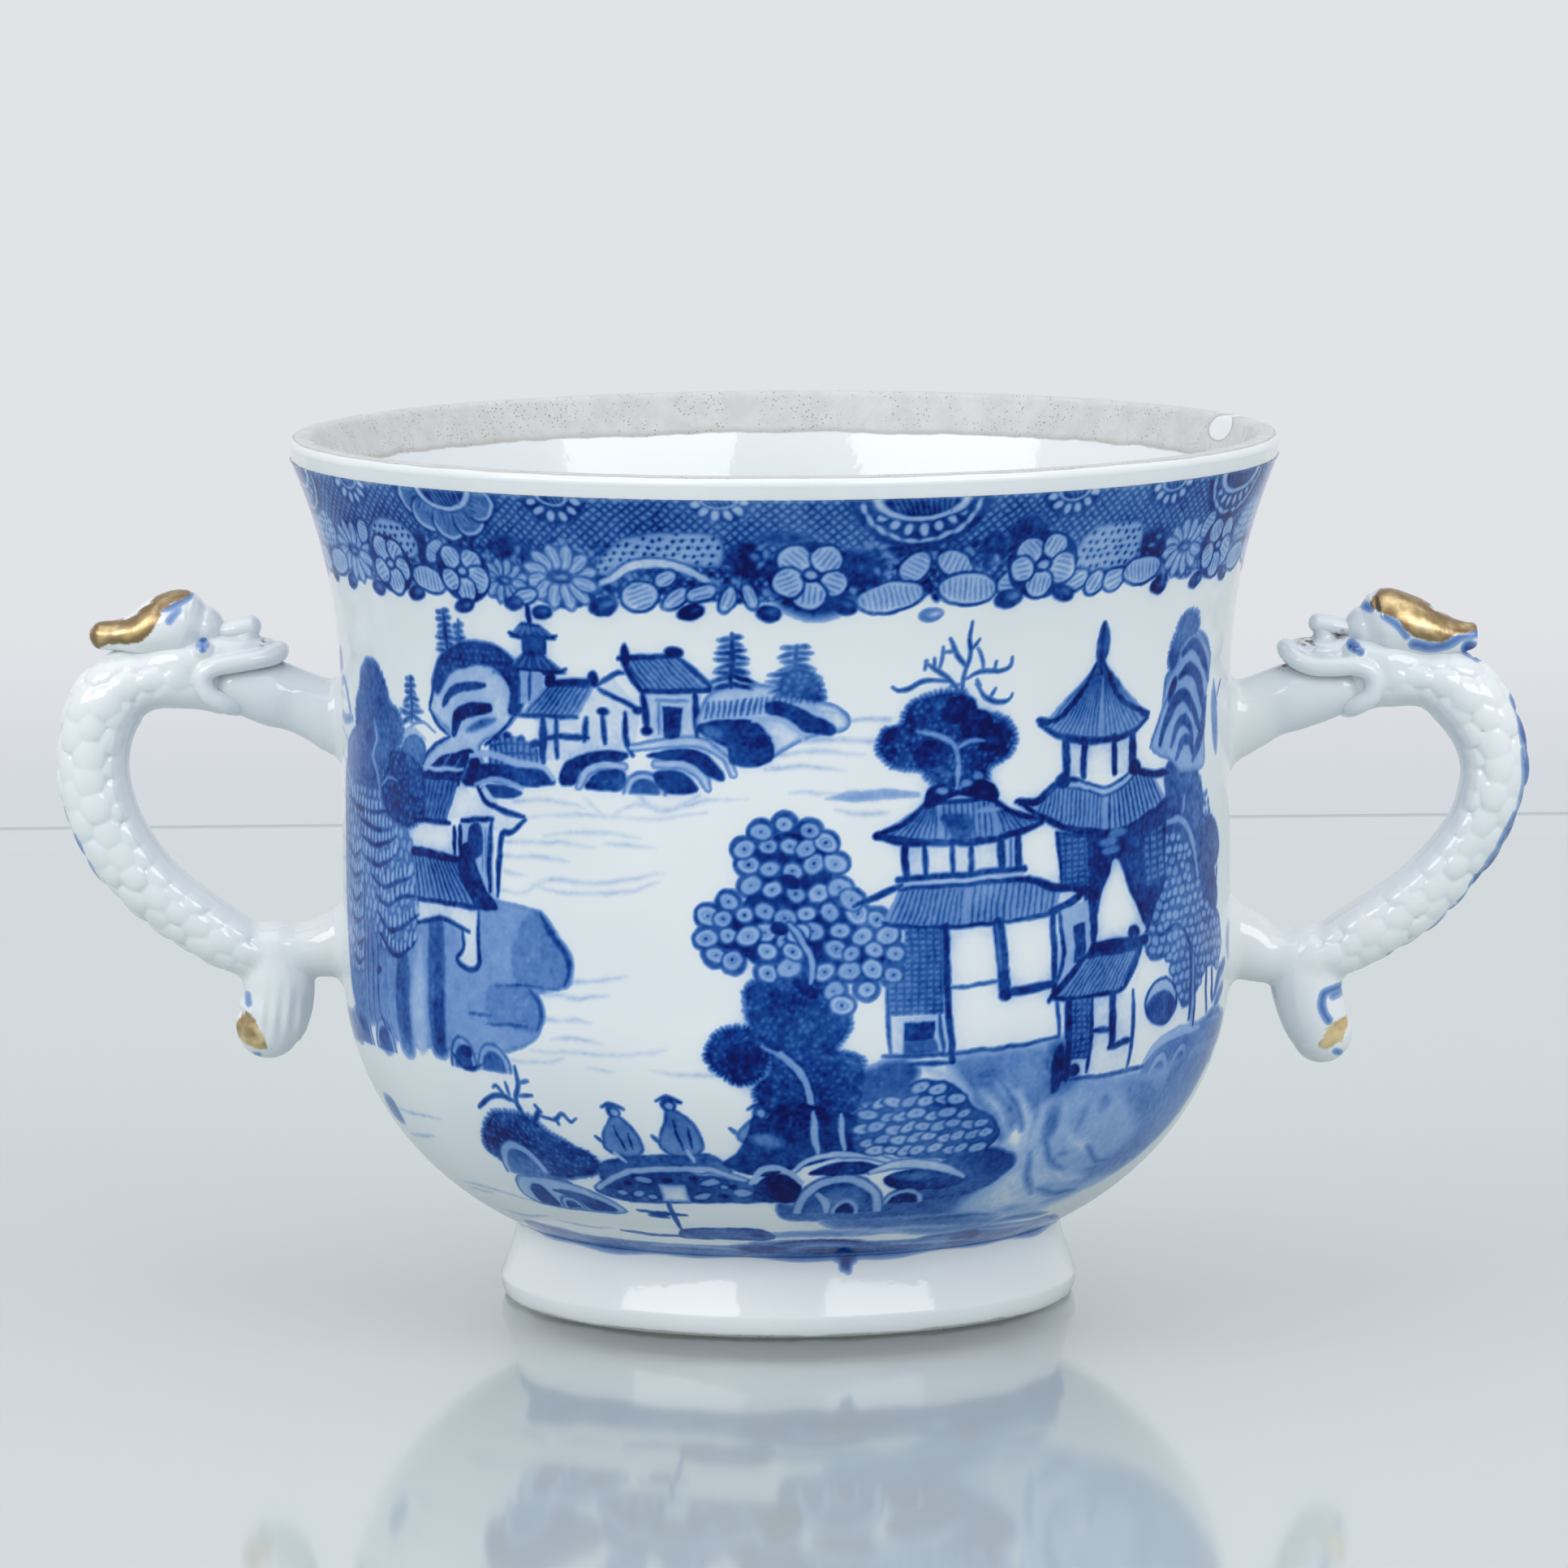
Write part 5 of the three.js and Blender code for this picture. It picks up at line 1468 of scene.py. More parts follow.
def paint_left_bank(c):
    """The boat house on its rock, the beaded willow and the clumps of trees behind them."""
    # rock wall
    c.wash("-550,386 -506,386 -496,296 -538,282", 0.34, soft=0.8)
    c.wash("-514,376 -504,304 -486,292 -452,291 -420,296 -394,294 -350,294 -316,300 -288,309 -268,324 "
        "-262,346 -270,364 -244,371 -230,380 -228,398 -242,416 -254,440 -270,452 -310,457 -380,460 "
        "-460,440 -500,410", 0.27, edge=0.42, soft=0.35)
    c.wash("-294,376 -300,406 -292,432 -270,450 -256,440 -240,414 -229,394 -234,376 -256,372", 0.4,
        edge=0.52, soft=0.8)
    c.stroke("-266,448 -252,428 -236,408 -231,390 -238,376", 1.0, 0.74, soft=0.6)
    c.wash("-330,368 -290,369 -270,360 -264,344 -270,328 -300,330 -334,334", 0.38, edge=0.52, soft=0.7)
    c.stroke("-282,371 -269,358 -265,342 -270,328", 0.7, 0.7, soft=0.5)
    c.strokes(0.5, 0.62, "-324,369 -286,372 -244,371", "-336,330 -282,332", "-360,338 -330,339")
    for s, t0, t1, width, tone in [(-47.4, 29.2, 38.2, 3.4, 0.56), (-47, 29.8, 35, 2.2, 0.66),
        (-41.2, 29.8, 43.4, 3.2, 0.62), (-40.9, 30.4, 38, 2.4, 0.76)]:
        c.stroke([(s, t0), (s, t1)], width, tone, taper=0.2, soft=0.9)
    c.wash("-454,290 -456,350 -440,410 -432,350 -434,294", 0.14, soft=0.8)
    # gate rail, and the roof above it
    c.patch("-450,424 -446,447 -346,448 -347,390 -360,384 -376,392 -368,424 -400,432", 0.03)
    c.stroke("-452,422 -420,429 -400,432 -376,427 -360,422", 0.55, 0.85)
    c.stroke("-370,426 -370,404 -379,392 -360,382 -347,389 -346,410 -347,448", 0.6, 0.88)
    c.tiles("-464,496 -370,495", "-466,449 -324,449", 15, 0.46, 0.82, 0.5, 0.9, 0.6)
    c.foliage("-504,464 -494,490 -470,500 -452,486 -464,460", 0.92, 0.4)
    # small rocks along the foot of the wall
    for s, wide, high in ((-37.6, 3.9, 2.3), (-33.2, 4.4, 2.1), (-52.6, 4.8, 2.6), (-58.8, 5.0, 4.6)):
        c.arch(s, 27.9, wide, high + 0.9, 0.85, 0.22, 0.6, 0.25, 0.6)
    c.dab(-37, 29.6, 1.8, 1.5, 0, 0.92)
    c.stroke("-394,294 -380,280 -364,279 -350,284", 0.5, 0.75)
    c.wash("-720,302 -640,306 -610,314 -604,280 -660,273 -720,278", 0.46, fade_to=0.55, soft=0.7)
    # boat house: upper wall, posts and prow
    c.patch("-474,528 -386,530 -384,502 -466,501", 0.03)
    c.patch("-374,534 -326,542 -324,460 -350,464 -368,498", 0.08)
    c.tiles("-434,576 -372,579", "-446,531 -394,533", 7, 0.68, 0.82, 0.5, 0.85, 0.6)
    c.patch("-370,578 -354,562 -336,576 -310,552 -286,548 -300,531 -320,529 -360,540 -390,536", 0.04)
    c.strokes(0.6, 0.86, "-472,499 -420,499 -368,497", "-446,531 -388,532", "-436,578 -370,585",
        "-381,528 -380,502", "-372,530 -371,502")
    c.wipe("-434,586 -400,586 -368,590", 0.5, 0.05)
    c.strokes(0.62, 0.86, "-346,574 -334,559 -310,551 -284,547", "-282,544 -300,530 -313,527 -317,500 "
        "-320,462", "-370,536 -346,540 -326,540", "-328,538 -330,500 -330,466")
    c.strokes(0.35, 0.4, "-340,530 -339,486", "-335,530 -334,482")
    c.wash("-370,508 -356,514 -348,492 -334,466 -320,449 -350,450 -374,480", 0.9, edge=0.97)
    c.wash("-360,530 -342,534 -340,504 -356,500", 0.8)
    # beaded willow
    c.wash("-644,570 -570,574 -520,560 -468,526 -450,480 -446,430 -470,390 -526,374 -534,310 -610,316 "
        "-650,400 -656,500", 0.42, edge=0.46, soft=0.8)
    c.pebbled("-644,560 -570,566 -500,550 -466,526 -450,480 -446,430 -465,394 -520,388 -564,414 -576,360 "
        "-620,354 -645,400 -650,500", 1.35, 1.25, 0.8, 0.2, 0.46, 78, 0.62)
    rows = ["-630,536 -580,527 -540,527 -506,532", "-580,516 -540,512 -504,512 -484,520", "-580,500 "
        "-540,494 -506,500 -484,510", "-578,480 -540,474 -510,478 -486,490", "-550,462 -520,452 -490,460 "
        "-456,470", "-536,442 -510,434 -480,446 -450,450", "-530,426 -506,410 -476,416 -444,432",
        "-524,404 -500,387 -474,387 -446,406", "-638,486 -610,476 -580,484", "-632,464 -606,454 -578,462",
        "-628,440 -604,429 -580,438", "-624,416 -600,406 -578,414", "-618,394 -598,384 -576,392",
        "-612,372 -594,364 -574,370"]
    for row in rows:
        c.stroke(row, 0.62, 0.8)
        path = spline(row, 1.15)
        for s, t in path[1:-1]:
            c.stroke([(s, t + 0.2), (s + 0.15, t + 1.5)], 0.34, 0.62)
            c.dab(s + 0.6, t + 0.9, 0.62, 1.0, 0, 0.12, cut=True)
    c.strokes(0.5, 0.72, "-560,410 -561,360 -559,310", "-532,404 -532,366 -531,330 -523,310 -510,300",
        "-549,406 -545,360 -546,310", "-570,470 -572,410 -570,340")
    c.dab(-52.9, 36.5, 1.3, 1.0, 20, 0.9)
    # trees behind
    c.wash("-592,616 -588,638 -572,652 -569,670 -546,682 -520,678 -506,662 -502,644 -480,636 -472,618 "
        "-484,602 -500,594 -514,574 -520,556 -570,552 -624,556 -638,584 -610,606", 0.52, edge=0.62,
        soft=0.4)
    c.foliage("-592,616 -588,638 -574,654 -569,670 -546,684 -520,680 -506,662 -500,646 -480,636 -472,618 "
        "-484,602 -500,590 -516,574 -550,560 -580,570", 0.66, 0.42, 0.7)
    c.dab(-54.6, 60.4, 3, 4, 80, 0.72, soft=1.2)
    c.wipe("-536,626 -530,604 -540,586 -528,568 -520,550", 0.6, 0.24)
    c.foliage("-516,556 -504,578 -494,596 -464,598 -438,588 -429,566 -432,542 -450,526 -480,523 -508,534",
        0.9, 0.45)
    c.wipe("-518,559 -500,568 -482,567", 0.45, 0.3)
    water(c, 0.26, "-720,434 -660,430 -620,418", "-720,460 -660,464 -630,454", "-720,490 -670,486 -610,486",
        "-720,360 -660,364", "-730,574 -680,576 -640,570", "-730,604 -680,602 -630,592", "-730,634 "
        "-680,638 -640,634", "-730,664 -700,666", "-730,530 -680,534 -640,526")
    c.wash("-700,662 -690,679 -660,687 -656,670 -674,662", 0.46, soft=0.7)
    c.strokes(0.9, 0.36, "-680,648 -650,654 -628,636 -616,620", "-690,616 -650,614 -610,619", soft=0.6)


def paint_far_island(c):
    """The far island: conifers, a three-tier pagoda, a curled rock, two houses and arched boulders."""
    c.strokes(0.34, 0.36, "-484,632 -468,640 -450,630 -430,633 -410,624", "-480,606 -464,620 -448,628",
        "-466,604 -454,616 -440,620")
    conifer(c, -45.2, 63.4, 4.2, 1.9, 0.66)
    # curled rock
    c.wash("-486,574 -478,600 -460,616 -438,618 -426,604 -434,578", 0.5, edge=0.62)
    c.wipe("-486,588 -470,612 -450,622 -428,616", 0.8, 0.1)
    c.wash("-418,646 -409,676 -386,704 -350,721 -318,719 -294,702 -282,676 -289,652 -310,632 -340,616 "
        "-340,578 -426,576 -429,594 -408,612 -388,626", 0.08, edge=0.45)
    c.stroke("-404,673 -388,696 -362,709 -325,712 -301,699 -289,677 -295,656", 2.6, 0.84, taper=0.4,
        soft=0.4)
    for s, t in c.spread("-400,680 -366,716 -316,716 -284,680 -310,690 -360,696", 0.8):
        c.dab(s, t, 0.4, 0.3, 0, 0.55, cut=True, soft=0.3)
    c.stroke("-396,654 -382,668 -362,676 -334,679", 1.0, 0.78, taper=0.6)
    c.stroke("-380,626 -374,643 -356,652 -328,656", 1.5, 0.88, taper=0.5)
    c.stroke("-360,630 -340,639 -322,644", 0.9, 0.5, taper=0.7, soft=0.5)
    c.wash("-422,574 -412,593 -382,605 -350,609 -342,576", 0.84, edge=0.94)
    c.wipes(0.34, 0.5, "-404,580 -386,602", "-388,578 -370,604", "-370,578 -356,604")
    c.strokes(0.45, 0.78, "-419,647 -411,670 -398,690", "-419,647 -406,634 -389,624", "-386,622 -408,612 "
        "-426,598 -434,580", "-292,654 -310,635 -334,618")
    conifer(c, -38.4, 71, 4.4, 1.7, 0.72)
    conifer(c, -36.4, 71.8, 2.6, 1.2, 0.6)
    # pagoda
    middle = -26.7
    for t, half, rise in ((69.9, 3.7, 1.9), (73.4, 2.9, 1.4)):
        c.patch([(middle - half, t - 0.1), (middle - half * 0.55, t + 0.9), (middle - 1, t + rise),
            (middle + 1, t + rise), (middle + half * 0.55, t + 0.9), (middle + half, t - 0.1),
            (middle, t - 0.4)], 0.66, edge=0.84)
        c.wipes(0.26, 0.42, *[[(middle + k * half * 0.3, t + rise * 0.7),
            (middle + k * half * 0.6, t + 0.2)] for k in (-1.3, -0.8, -0.3, 0.3, 0.8, 1.3)])
        c.stroke([(middle - half, t + 0.3), (middle - half * 0.5, t - 0.1), (middle + half * 0.5, t - 0.1),
            (middle + half, t + 0.3)], 0.5, 0.88)
    c.patch("-280,716 -282,736 -250,736 -252,716", 0.66, edge=0.74)
    c.stroke("-267,744 -268,768", 0.6, 0.85)
    c.patch("-290,664 -286,697 -258,697 -256,664", 0.16)
    c.strokes(0.5, 0.66, "-287,696 -289,662", "-273,696 -274,668")
    # left house
    c.patch("-270,650 -266,606 -200,610 -156,616 -150,664 -180,700 -220,660", 0.04)
    c.tiles("-252,684 -200,686", "-288,651 -220,653", 9, 0.42, 0.74, 0.42, 0.8, 0.5)
    c.strokes(0.75, 0.92, "-253,687 -200,690")
    c.dabs(1.3, 1.7, 0, 0.97, "-249,689 -200,693")
    c.strokes(0.5, 0.74, "-196,686 -176,699 -166,701", "-194,683 -170,672 -148,663")
    c.strokes(0.6, 0.8, "-245,651 -243,610", "-210,652 -212,629", "-190,658 -189,627", "-167,659 -165,634 "
        "-159,616", "-262,630 -226,633 -208,632")
    c.stroke("-261,648 -260,604", 0.9, 0.88)
    c.dabs(1.3, 0.8, 0, 0.9, "-268,624 -190,659 -152,663")
    c.lattice("-330,594 -329,620 -310,631 -286,629 -266,618 -264,596", 0.75, 1.1, 0.34, 0.7, 6, 0.28)
    c.dabs(0.9, 0.7, 0, 0.85, "-320,626 -304,630 -288,628 -274,622")
    # right house
    c.patch("-150,680 -144,634 -84,632 -86,680", 0.05)
    c.tiles("-170,715 -112,719", "-146,682 -76,685", 9, 0.42, 0.76, 0.42, 0.86, 0.6)
    c.strokes(0.7, 0.88, "-168,716 -156,696 -146,681", "-110,718 -92,704 -75,688")
    c.dab(-16.4, 71.8, 1.0, 2.4, 0, 0.92)
    c.dab(-11.2, 72.3, 1.9, 1.3, 0, 1.0)
    c.strokes(0.72, 0.84, "-146,682 -143,642", "-92,682 -90,636")
    c.dab(-14.3, 64.2, 1.2, 0.9, 0, 0.92)
    c.strokes(0.35, 0.4, "-130,674 -130,640", "-132,673 -100,674")
    c.patch("-126,667 -124,634 -108,634 -105,667", 0.86, edge=0.95)
    # banks and arched boulders
    c.wash("-360,586 -340,598 -300,598 -264,599 -246,588 -254,580 -300,578", 0.78, edge=0.85)
    c.wipe("-356,604 -330,609 -296,602 -264,600 -248,588", 0.75, 0.1, taper=0.3)
    c.wash("-344,569 -330,577 -304,576 -286,570 -310,564", 0.74, edge=0.8)
    c.wipe("-350,576 -320,583 -286,576", 0.6, 0.16)
    crescent(c, "-241,586 -234,605 -216,615 -184,620 -164,618 -170,610 -200,606 -217,596 -223,583",
        "-217,582 -210,597 -192,605 -168,604")
    c.wash("-210,579 -202,594 -186,600 -168,599 -166,588 -178,579", 0.88, edge=0.95)
    c.arch(-14.6, 57.7, 4.6, 2.2, 0.8, 0.1, 0.6, 0.0, 0.55)
    crescent(c, "-144,616 -110,624 -84,620 -68,606 -63,592 -86,600 -110,610", "-160,624 -120,630 -86,630 "
        "-62,618 -53,598")
    crescent(c, "-136,598 -114,602 -98,594 -91,581 -124,580", "-134,608 -106,608 -86,598 -80,584")
    # hill with two conifers
    c.wash("-90,646 -87,666 -76,682 -50,691 -10,690 30,676 52,669 65,657 62,645 40,640 14,632 -16,614 "
        "-40,608 -60,616", 0.06, edge=0.5)
    for s in np.arange(-8.2, 0.6, 0.62):
        c.stroke([(s, 65.6 + 0.12 * (s + 8)), (s + 0.3, 67.2 + 0.1 * (s + 8))], 0.36, 0.58)
    c.wash("-89,648 -64,655 -34,654 -19,640 -12,622 -20,610 -54,608 -60,626 -84,639", 0.8, edge=0.9)
    c.dab(-7.4, 64.1, 1.9, 1.2, -10, 0.5, cut=True, soft=0.5)
    c.dab(-2.6, 63.3, 2.2, 1.6, 10, 0.98)
    c.wash("-16,674 6,670 30,659 50,649 46,639 16,644 -4,656 -20,664", 0.92, edge=0.98)
    c.wipe("-34,654 -10,656 10,646 18,633", 0.7, 0.1)
    c.wipe("-6,682 16,674 34,664 52,662 60,652", 0.5, 0.1)
    conifer(c, -5.4, 68.9, 5.4, 2.3, 0.78)
    conifer(c, 1.0, 68, 5.2, 2.6, 0.8)
    c.foliage("-6,682 2,704 20,706 34,690 36,676 16,676", 0.85, 0.45)
    # water between the islands
    water(c, 0.24, "-296,562 -250,565 -210,560", "-286,546 -220,553 -140,552 -80,560", "-210,569 -186,553 "
        "-156,566 -120,562 -80,572 -40,574", "-260,530 -200,536 -150,533", "-310,519 -250,523 -200,521",
        "-310,504 -270,507 -230,504", "-190,524 -160,525 -134,522", "-170,592 -130,560 -90,576", "64,653 "
        "80,654 106,653", "-10,630 40,634 94,632", "-10,619 30,622 80,618", "-20,604 20,607 60,602",
        "4,579 30,580 60,577", "50,561 80,558 104,559", "-310,489 -280,486", "-312,470 -286,468 -254,485 "
        "-200,483 -124,496", "-276,478 -230,472 -170,476 -130,487", "-242,380 -200,383 -166,391",
        "-260,366 -220,364 -186,369", "-262,340 -230,342 -206,340", "-254,320 -220,322 -194,318",
        "-280,306 -220,307 -170,308 -124,316", "-306,293 -270,294 -240,300", "-214,292 -184,289",
        "-144,293 -110,289 -78,290")
    c.stroke("40,574 80,577 134,576", 1.1, 0.2, taper=0.8, soft=0.6)


def paint_pavilions(c):
    """The great tree, the two-tier pavilion, the tower and the small house on the near island."""
    # ground right of the pavilion
    c.wash("174,302 240,307 306,304 310,260 294,242 260,220 246,200 230,224 206,248 190,270", 0.36,
        soft=1.4)
    c.wash("86,298 120,304 136,288 110,264 80,258 66,280", 0.68, soft=0.8)
    c.dab(21.6, 28.4, 4.4, 1.5, 4, 0.48, soft=0.8)
    c.dab(25.6, 24.6, 5, 1.6, 30, 0.46, soft=0.8)
    c.wipes(1.1, 0.08, "146,294 174,280 196,262", "210,264 234,242 250,214", "256,260 272,230 278,196",
        "230,270 260,244 290,204", soft=1.1)
    c.strokes(0.8, 0.5, "220,286 250,250 270,216", "276,280 284,240 288,200", soft=1.0)
    c.wash("288,308 314,306 334,266 370,260 430,256 500,246 500,210 420,230 360,226 316,234 290,260", 0.62,
        fade_to=0.3, soft=1.3)
    c.stroke("300,304 302,260", 2.0, 0.94, soft=0.6)
    # great tree: trunk, dark clumps and blossoms
    c.foliage("-42,366 -38,384 -10,392 20,384 44,374 62,356 60,334 48,316 74,308 78,274 66,246 0,240 "
        "-30,260 -32,280 -16,294 -20,320 -36,340", 0.9, 0.5)
    c.foliage("-82,312 -75,328 -60,338 -40,339 -24,331 -18,316 -22,298 -36,285 -56,284 -74,296", 0.97, 0.6,
        0.5, 0.7)
    c.dab(-4.4, 31.2, 4, 3, 0, 0.97)
    c.wash("-76,430 -44,466 -34,500 -30,524 0,540 34,530 48,500 46,472 80,450 100,420 96,400 60,386 40,368 "
        "24,386 -16,396 -46,416", 0.88)
    blossoms = drawn("-82,432 -60,434 -73,414 -55,409 -80,454 -59,469 -42,456 -21,460 -23,438 -1,452 "
        "-20,419 -2,430 -20,396 2,401 -39,434 -65,451 20,457 44,458 72,456 27,439 54,440 92,449 77,433 "
        "103,433 50,420 89,418 111,414 38,397 64,398 87,399 109,392 81,379 48,377 56,362 -36,486 -14,482 "
        "9,477 32,478 54,482 -38,507 -17,503 6,500 28,507 50,508 -42,523 -19,526 4,525 20,524 40,529 "
        "-26,541 -2,548 24,542 12,436 66,470 6,418 66,416")
    for s, t in blossoms:
        c.dab(s, t, 3.0, 2.8, 0, 0.64)
    for k, (s, t) in enumerate(blossoms):
        c.blossom(s, t, 0.98 + 0.14 * math.sin(5 * k), 0.68, 0.13 + 0.05 * math.sin(3 * k),
            0.5 if k % 3 else 0.75)
    c.dabs(2.2, 1.4, -20, 0.96, "22,376 -8,442 4,489 16,384")
    bough, trunk = "3,446 19,424 26,406 23,386", "-6,314 12,294 22,272 26,246 28,220"
    c.stroke(bough, 1.1, 0.8, taper=0.3)
    c.wipe(bough, 0.65, 0.16, taper=0.4)
    c.stroke(trunk, 1.4, 0.9, taper=0.2)
    c.wipe(trunk, 0.85, 0.14, taper=0.4)
    c.wipe("-26,321 -8,312 4,300", 0.5, 0.2)
    # bare branches and the dark crown over the pavilion
    c.strokes(0.44, 0.64, "182,670 184,694 190,718 188,736 190,750", "182,676 164,696 146,708", "168,690 "
        "140,692 126,685 114,683 108,687", "186,704 174,720 166,734", "186,692 204,699 224,698 236,703 "
        "238,712", "198,686 208,672 222,666 236,667 240,674")
    c.strokes(0.34, 0.56, "158,702 160,718 160,726", "144,712 142,704", "152,706 152,714", "206,700 "
        "203,712 198,722", "218,700 220,708", "214,670 220,679", "202,684 199,690", "172,722 162,720",
        "190,720 200,732", "180,686 170,684")
    c.foliage("95,624 102,641 120,646 124,660 136,672 160,677 184,676 192,658 216,653 236,644 243,626 "
        "234,610 214,602 208,586 170,582 150,590 138,602 110,606", 0.9, 0.45)
    c.dabs(4, 3, 10, 0.95, "180,660 220,630 150,616 200,644")
    c.wipe("178,579 180,606 174,626 156,635 136,639", 0.6, 0.2)
    c.wipe("180,622 192,628 208,626", 0.5, 0.22)
    # upper tier of the pavilion
    c.patch("120,490 120,526 250,528 254,490", 0.03)
    c.tiles("142,565 156,566", "92,535 160,526", 9, 0.4, 0.74, 0.38, 0.82, 0.5)
    c.tiles("156,566 220,567", "160,526 224,527", 9, 0.4, 0.74, 0.38, 0.82, 0.5)
    c.tiles("220,567 236,556", "224,527 276,539", 6, 0.42, 0.74, 0.38, 0.82, 0.5)
    c.strokes(0.62, 0.88, "142,566 126,550 106,540 91,536", "220,568 240,553 278,540", "92,533 120,527 "
        "170,524 220,525 278,538")
    c.dab(9.3, 53.6, 1.1, 0.8, 20, 0.92)
    c.wash("160,552 194,550 192,528 174,530", 0.7, soft=0.5)
    c.dab(21.4, 55.6, 3.2, 0.6, 5, 0.2, cut=True)
    c.wash("142,562 146,580 160,585 180,578 204,586 220,580 222,564 180,572 156,564", 0.98)
    c.dabs(1.3, 0.8, 0, 0.3, "162,578 189,584 202,590", cut=True)
    for s, wide in ((12.2, 0.75), (14.3, 0.5), (17.3, 0.5), (19.4, 0.5), (22.8, 0.85), (24.7, 0.85)):
        c.stroke([(s - 0.1, 52.7), (s + 0.1, 49)], wide, 0.84, taper=0.1)
    c.stroke("237,526 239,494", 0.4, 0.5)
    c.strokes(0.7, 0.84, "114,489 180,491 254,494", "118,479 180,481 260,483", taper=0.1)
    c.wipe("116,484 180,486 250,489", 0.5, 0.06, taper=0.1)
    # lower roof and wall
    c.tiles("116,480 190,481", "98,446 130,440 186,438", 13, 0.42, 0.7, 0.4, 0.8, 0.5)
    c.tiles("190,481 260,482 300,469", "186,438 240,440 294,445", 14, 0.42, 0.72, 0.42, 0.8, 0.5)
    c.strokes(0.9, 0.92, "260,482 290,471 314,469 330,464", "286,446 310,452 332,464", taper=0.3)
    c.strokes(0.7, 0.82, "68,464 94,474 118,484", "98,445 130,439 180,437 240,439 290,444")
    c.patch("169,436 223,437 234,438 290,440 295,314 173,310", 0.02)
    c.lattice("102,384 120,386 122,439 162,437 163,350 102,350", 0.8, 0.62, 0.36, 0.66, 0, 0.3)
    c.patch("106,349 162,349 170,310 106,310", 0.05)
    c.strokes(0.75, 0.84, "165,440 166,390 169,340 174,300", "289,442 292,400 293,360", taper=0.1)
    c.strokes(0.45, 0.7, "104,386 104,350 106,308", "296,354 299,314", "158,350 160,330 164,310")
    c.stroke("224,440 228,400 232,364", 1.35, 0.78, taper=0.1)
    c.wipe("222,438 226,390", 0.35, 0.5)
    c.stroke("170,376 226,379", 0.4, 0.66)
    c.stroke("230,367 260,368 294,372", 0.95, 0.88, taper=0.2)
    c.dab(23.2, 36.5, 1.5, 1.4, 0, 0.97)
    c.patch("120,342 153,343 153,324 120,323", 0.88, edge=0.95)
    c.patch("120,323 155,324 158,310 120,309", 0.62)
    c.strokes(0.5, 0.66, "98,308 170,308 240,310 296,316", "104,299 172,299", taper=0.2)
    # tower
    c.patch("306,584 308,620 404,620 406,580", 0.03)
    c.tiles("348,696 356,696", "276,640 304,626 356,619", 12, 0.4, 0.68, 0.4, 0.7, 0.4)
    c.tiles("356,696 359,694", "356,619 400,622 430,636", 9, 0.42, 0.72, 0.42, 0.7, 0.4)
    c.strokes(0.7, 0.9, "348,698 330,672 310,653 292,643 272,644", "358,698 374,668 394,652 414,644 "
        "432,639", "274,639 300,625 330,618 360,616 400,620 430,634")
    c.dabs(1.8, 0.9, -10, 0.93, "280,642 424,639")
    c.wash("352,742 346,726 345,710 352,692 362,708 362,724", 0.66, edge=0.8)
    c.stroke("352,738 353,710 354,686", 0.75, 0.92)
    for s, wide in ((30.8, 1.0), (33.2, 0.8), (37.6, 0.8), (40.5, 1.15)):
        c.stroke([(s, 62), (s - 0.05, 58.2)], wide, 0.9, taper=0.1)
    c.tiles("274,562 302,577 334,571 362,562", "266,549 306,531 360,522", 15, 0.42, 0.72, 0.4, 0.85, 0.5)
    c.tiles("362,562 406,578 440,574", "360,522 400,525 464,546", 12, 0.34, 0.74, 0.5, 0.85, 0.5)
    c.strokes(0.8, 0.9, "246,563 270,561 302,580 330,575", "404,583 434,576 470,572", "250,560 276,545 "
        "306,531 360,521 400,524 468,544")
    eaves = "310,576 340,569 362,563 384,569 404,578"
    c.stroke(eaves, 1.1, 0.75, taper=0.1)
    c.wipe(eaves, 0.55, 0.1, taper=0.1)
    c.dabs(2, 1.6, 0, 0.95, "304,580 408,584")
    # tower's body with the tent opening
    c.patch("294,528 330,522 360,518 466,540 462,460 428,410 340,410 330,466 300,466", 0.8, edge=0.88)
    c.lattice("300,524 336,518 338,468 302,472", 0.9, 0.62, 0.4, 0.7, 0, 0.28)
    c.lattice("424,510 460,524 460,466 428,460", 1.3, 0.8, 0.45, 0.78, 4, 0.32)
    c.dabs(2.8, 0.9, 4, 0.4, "366,512 370,503 380,520", cut=True)
    c.wash("349,409 351,440 358,462 367,476 374,491 381,492 389,480 398,462 412,440 420,426 422,410", 0.02)
    c.strokes(0.9, 0.92, "390,484 402,462 416,440 426,422", "346,410 345,446 352,466")
    c.stroke("330,402 370,404 426,403", 1.25, 1.0, taper=0.15)
    c.dab(40.6, 41.4, 1.9, 1.5, 0, 1.0)
    c.patch("300,446 338,454 340,406 324,384 296,370", 0.12)
    c.strokes(0.6, 0.8, "298,444 304,400 296,374", "344,454 343,410")
    c.patch("317,428 332,430 334,390 318,392", 0.82, edge=0.92)
    # small house
    c.tiles("338,396 418,397", "294,356 340,353 388,357", 13, 0.46, 0.76, 0.42, 0.9, 0.6)
    c.strokes(0.85, 0.93, "286,354 312,378 334,396", "420,400 406,380 390,358")
    c.patch("316,352 404,352 406,272 320,274", 0.04)
    c.lattice("314,352 341,352 341,290 316,290", 0.8, 0.62, 0.38, 0.68, 0, 0.3)
    c.stroke("310,354 312,310 314,270", 1.0, 0.86, taper=0.1)
    c.strokes(0.6, 0.8, "343,352 342,310 342,274", "405,354 406,310 407,270", "344,318 370,316")
    c.stroke("372,352 374,300", 1.0, 0.88, taper=0.1)
    c.stroke("370,298 404,301", 0.7, 0.84)
    c.dab(32.4, 27.8, 1.5, 1.5, 0, 0.82)
    c.strokes(0.55, 0.7, "320,268 370,267 434,269", taper=0.2)
    c.wipe("330,260 380,259 430,261", 0.5, 0.2)


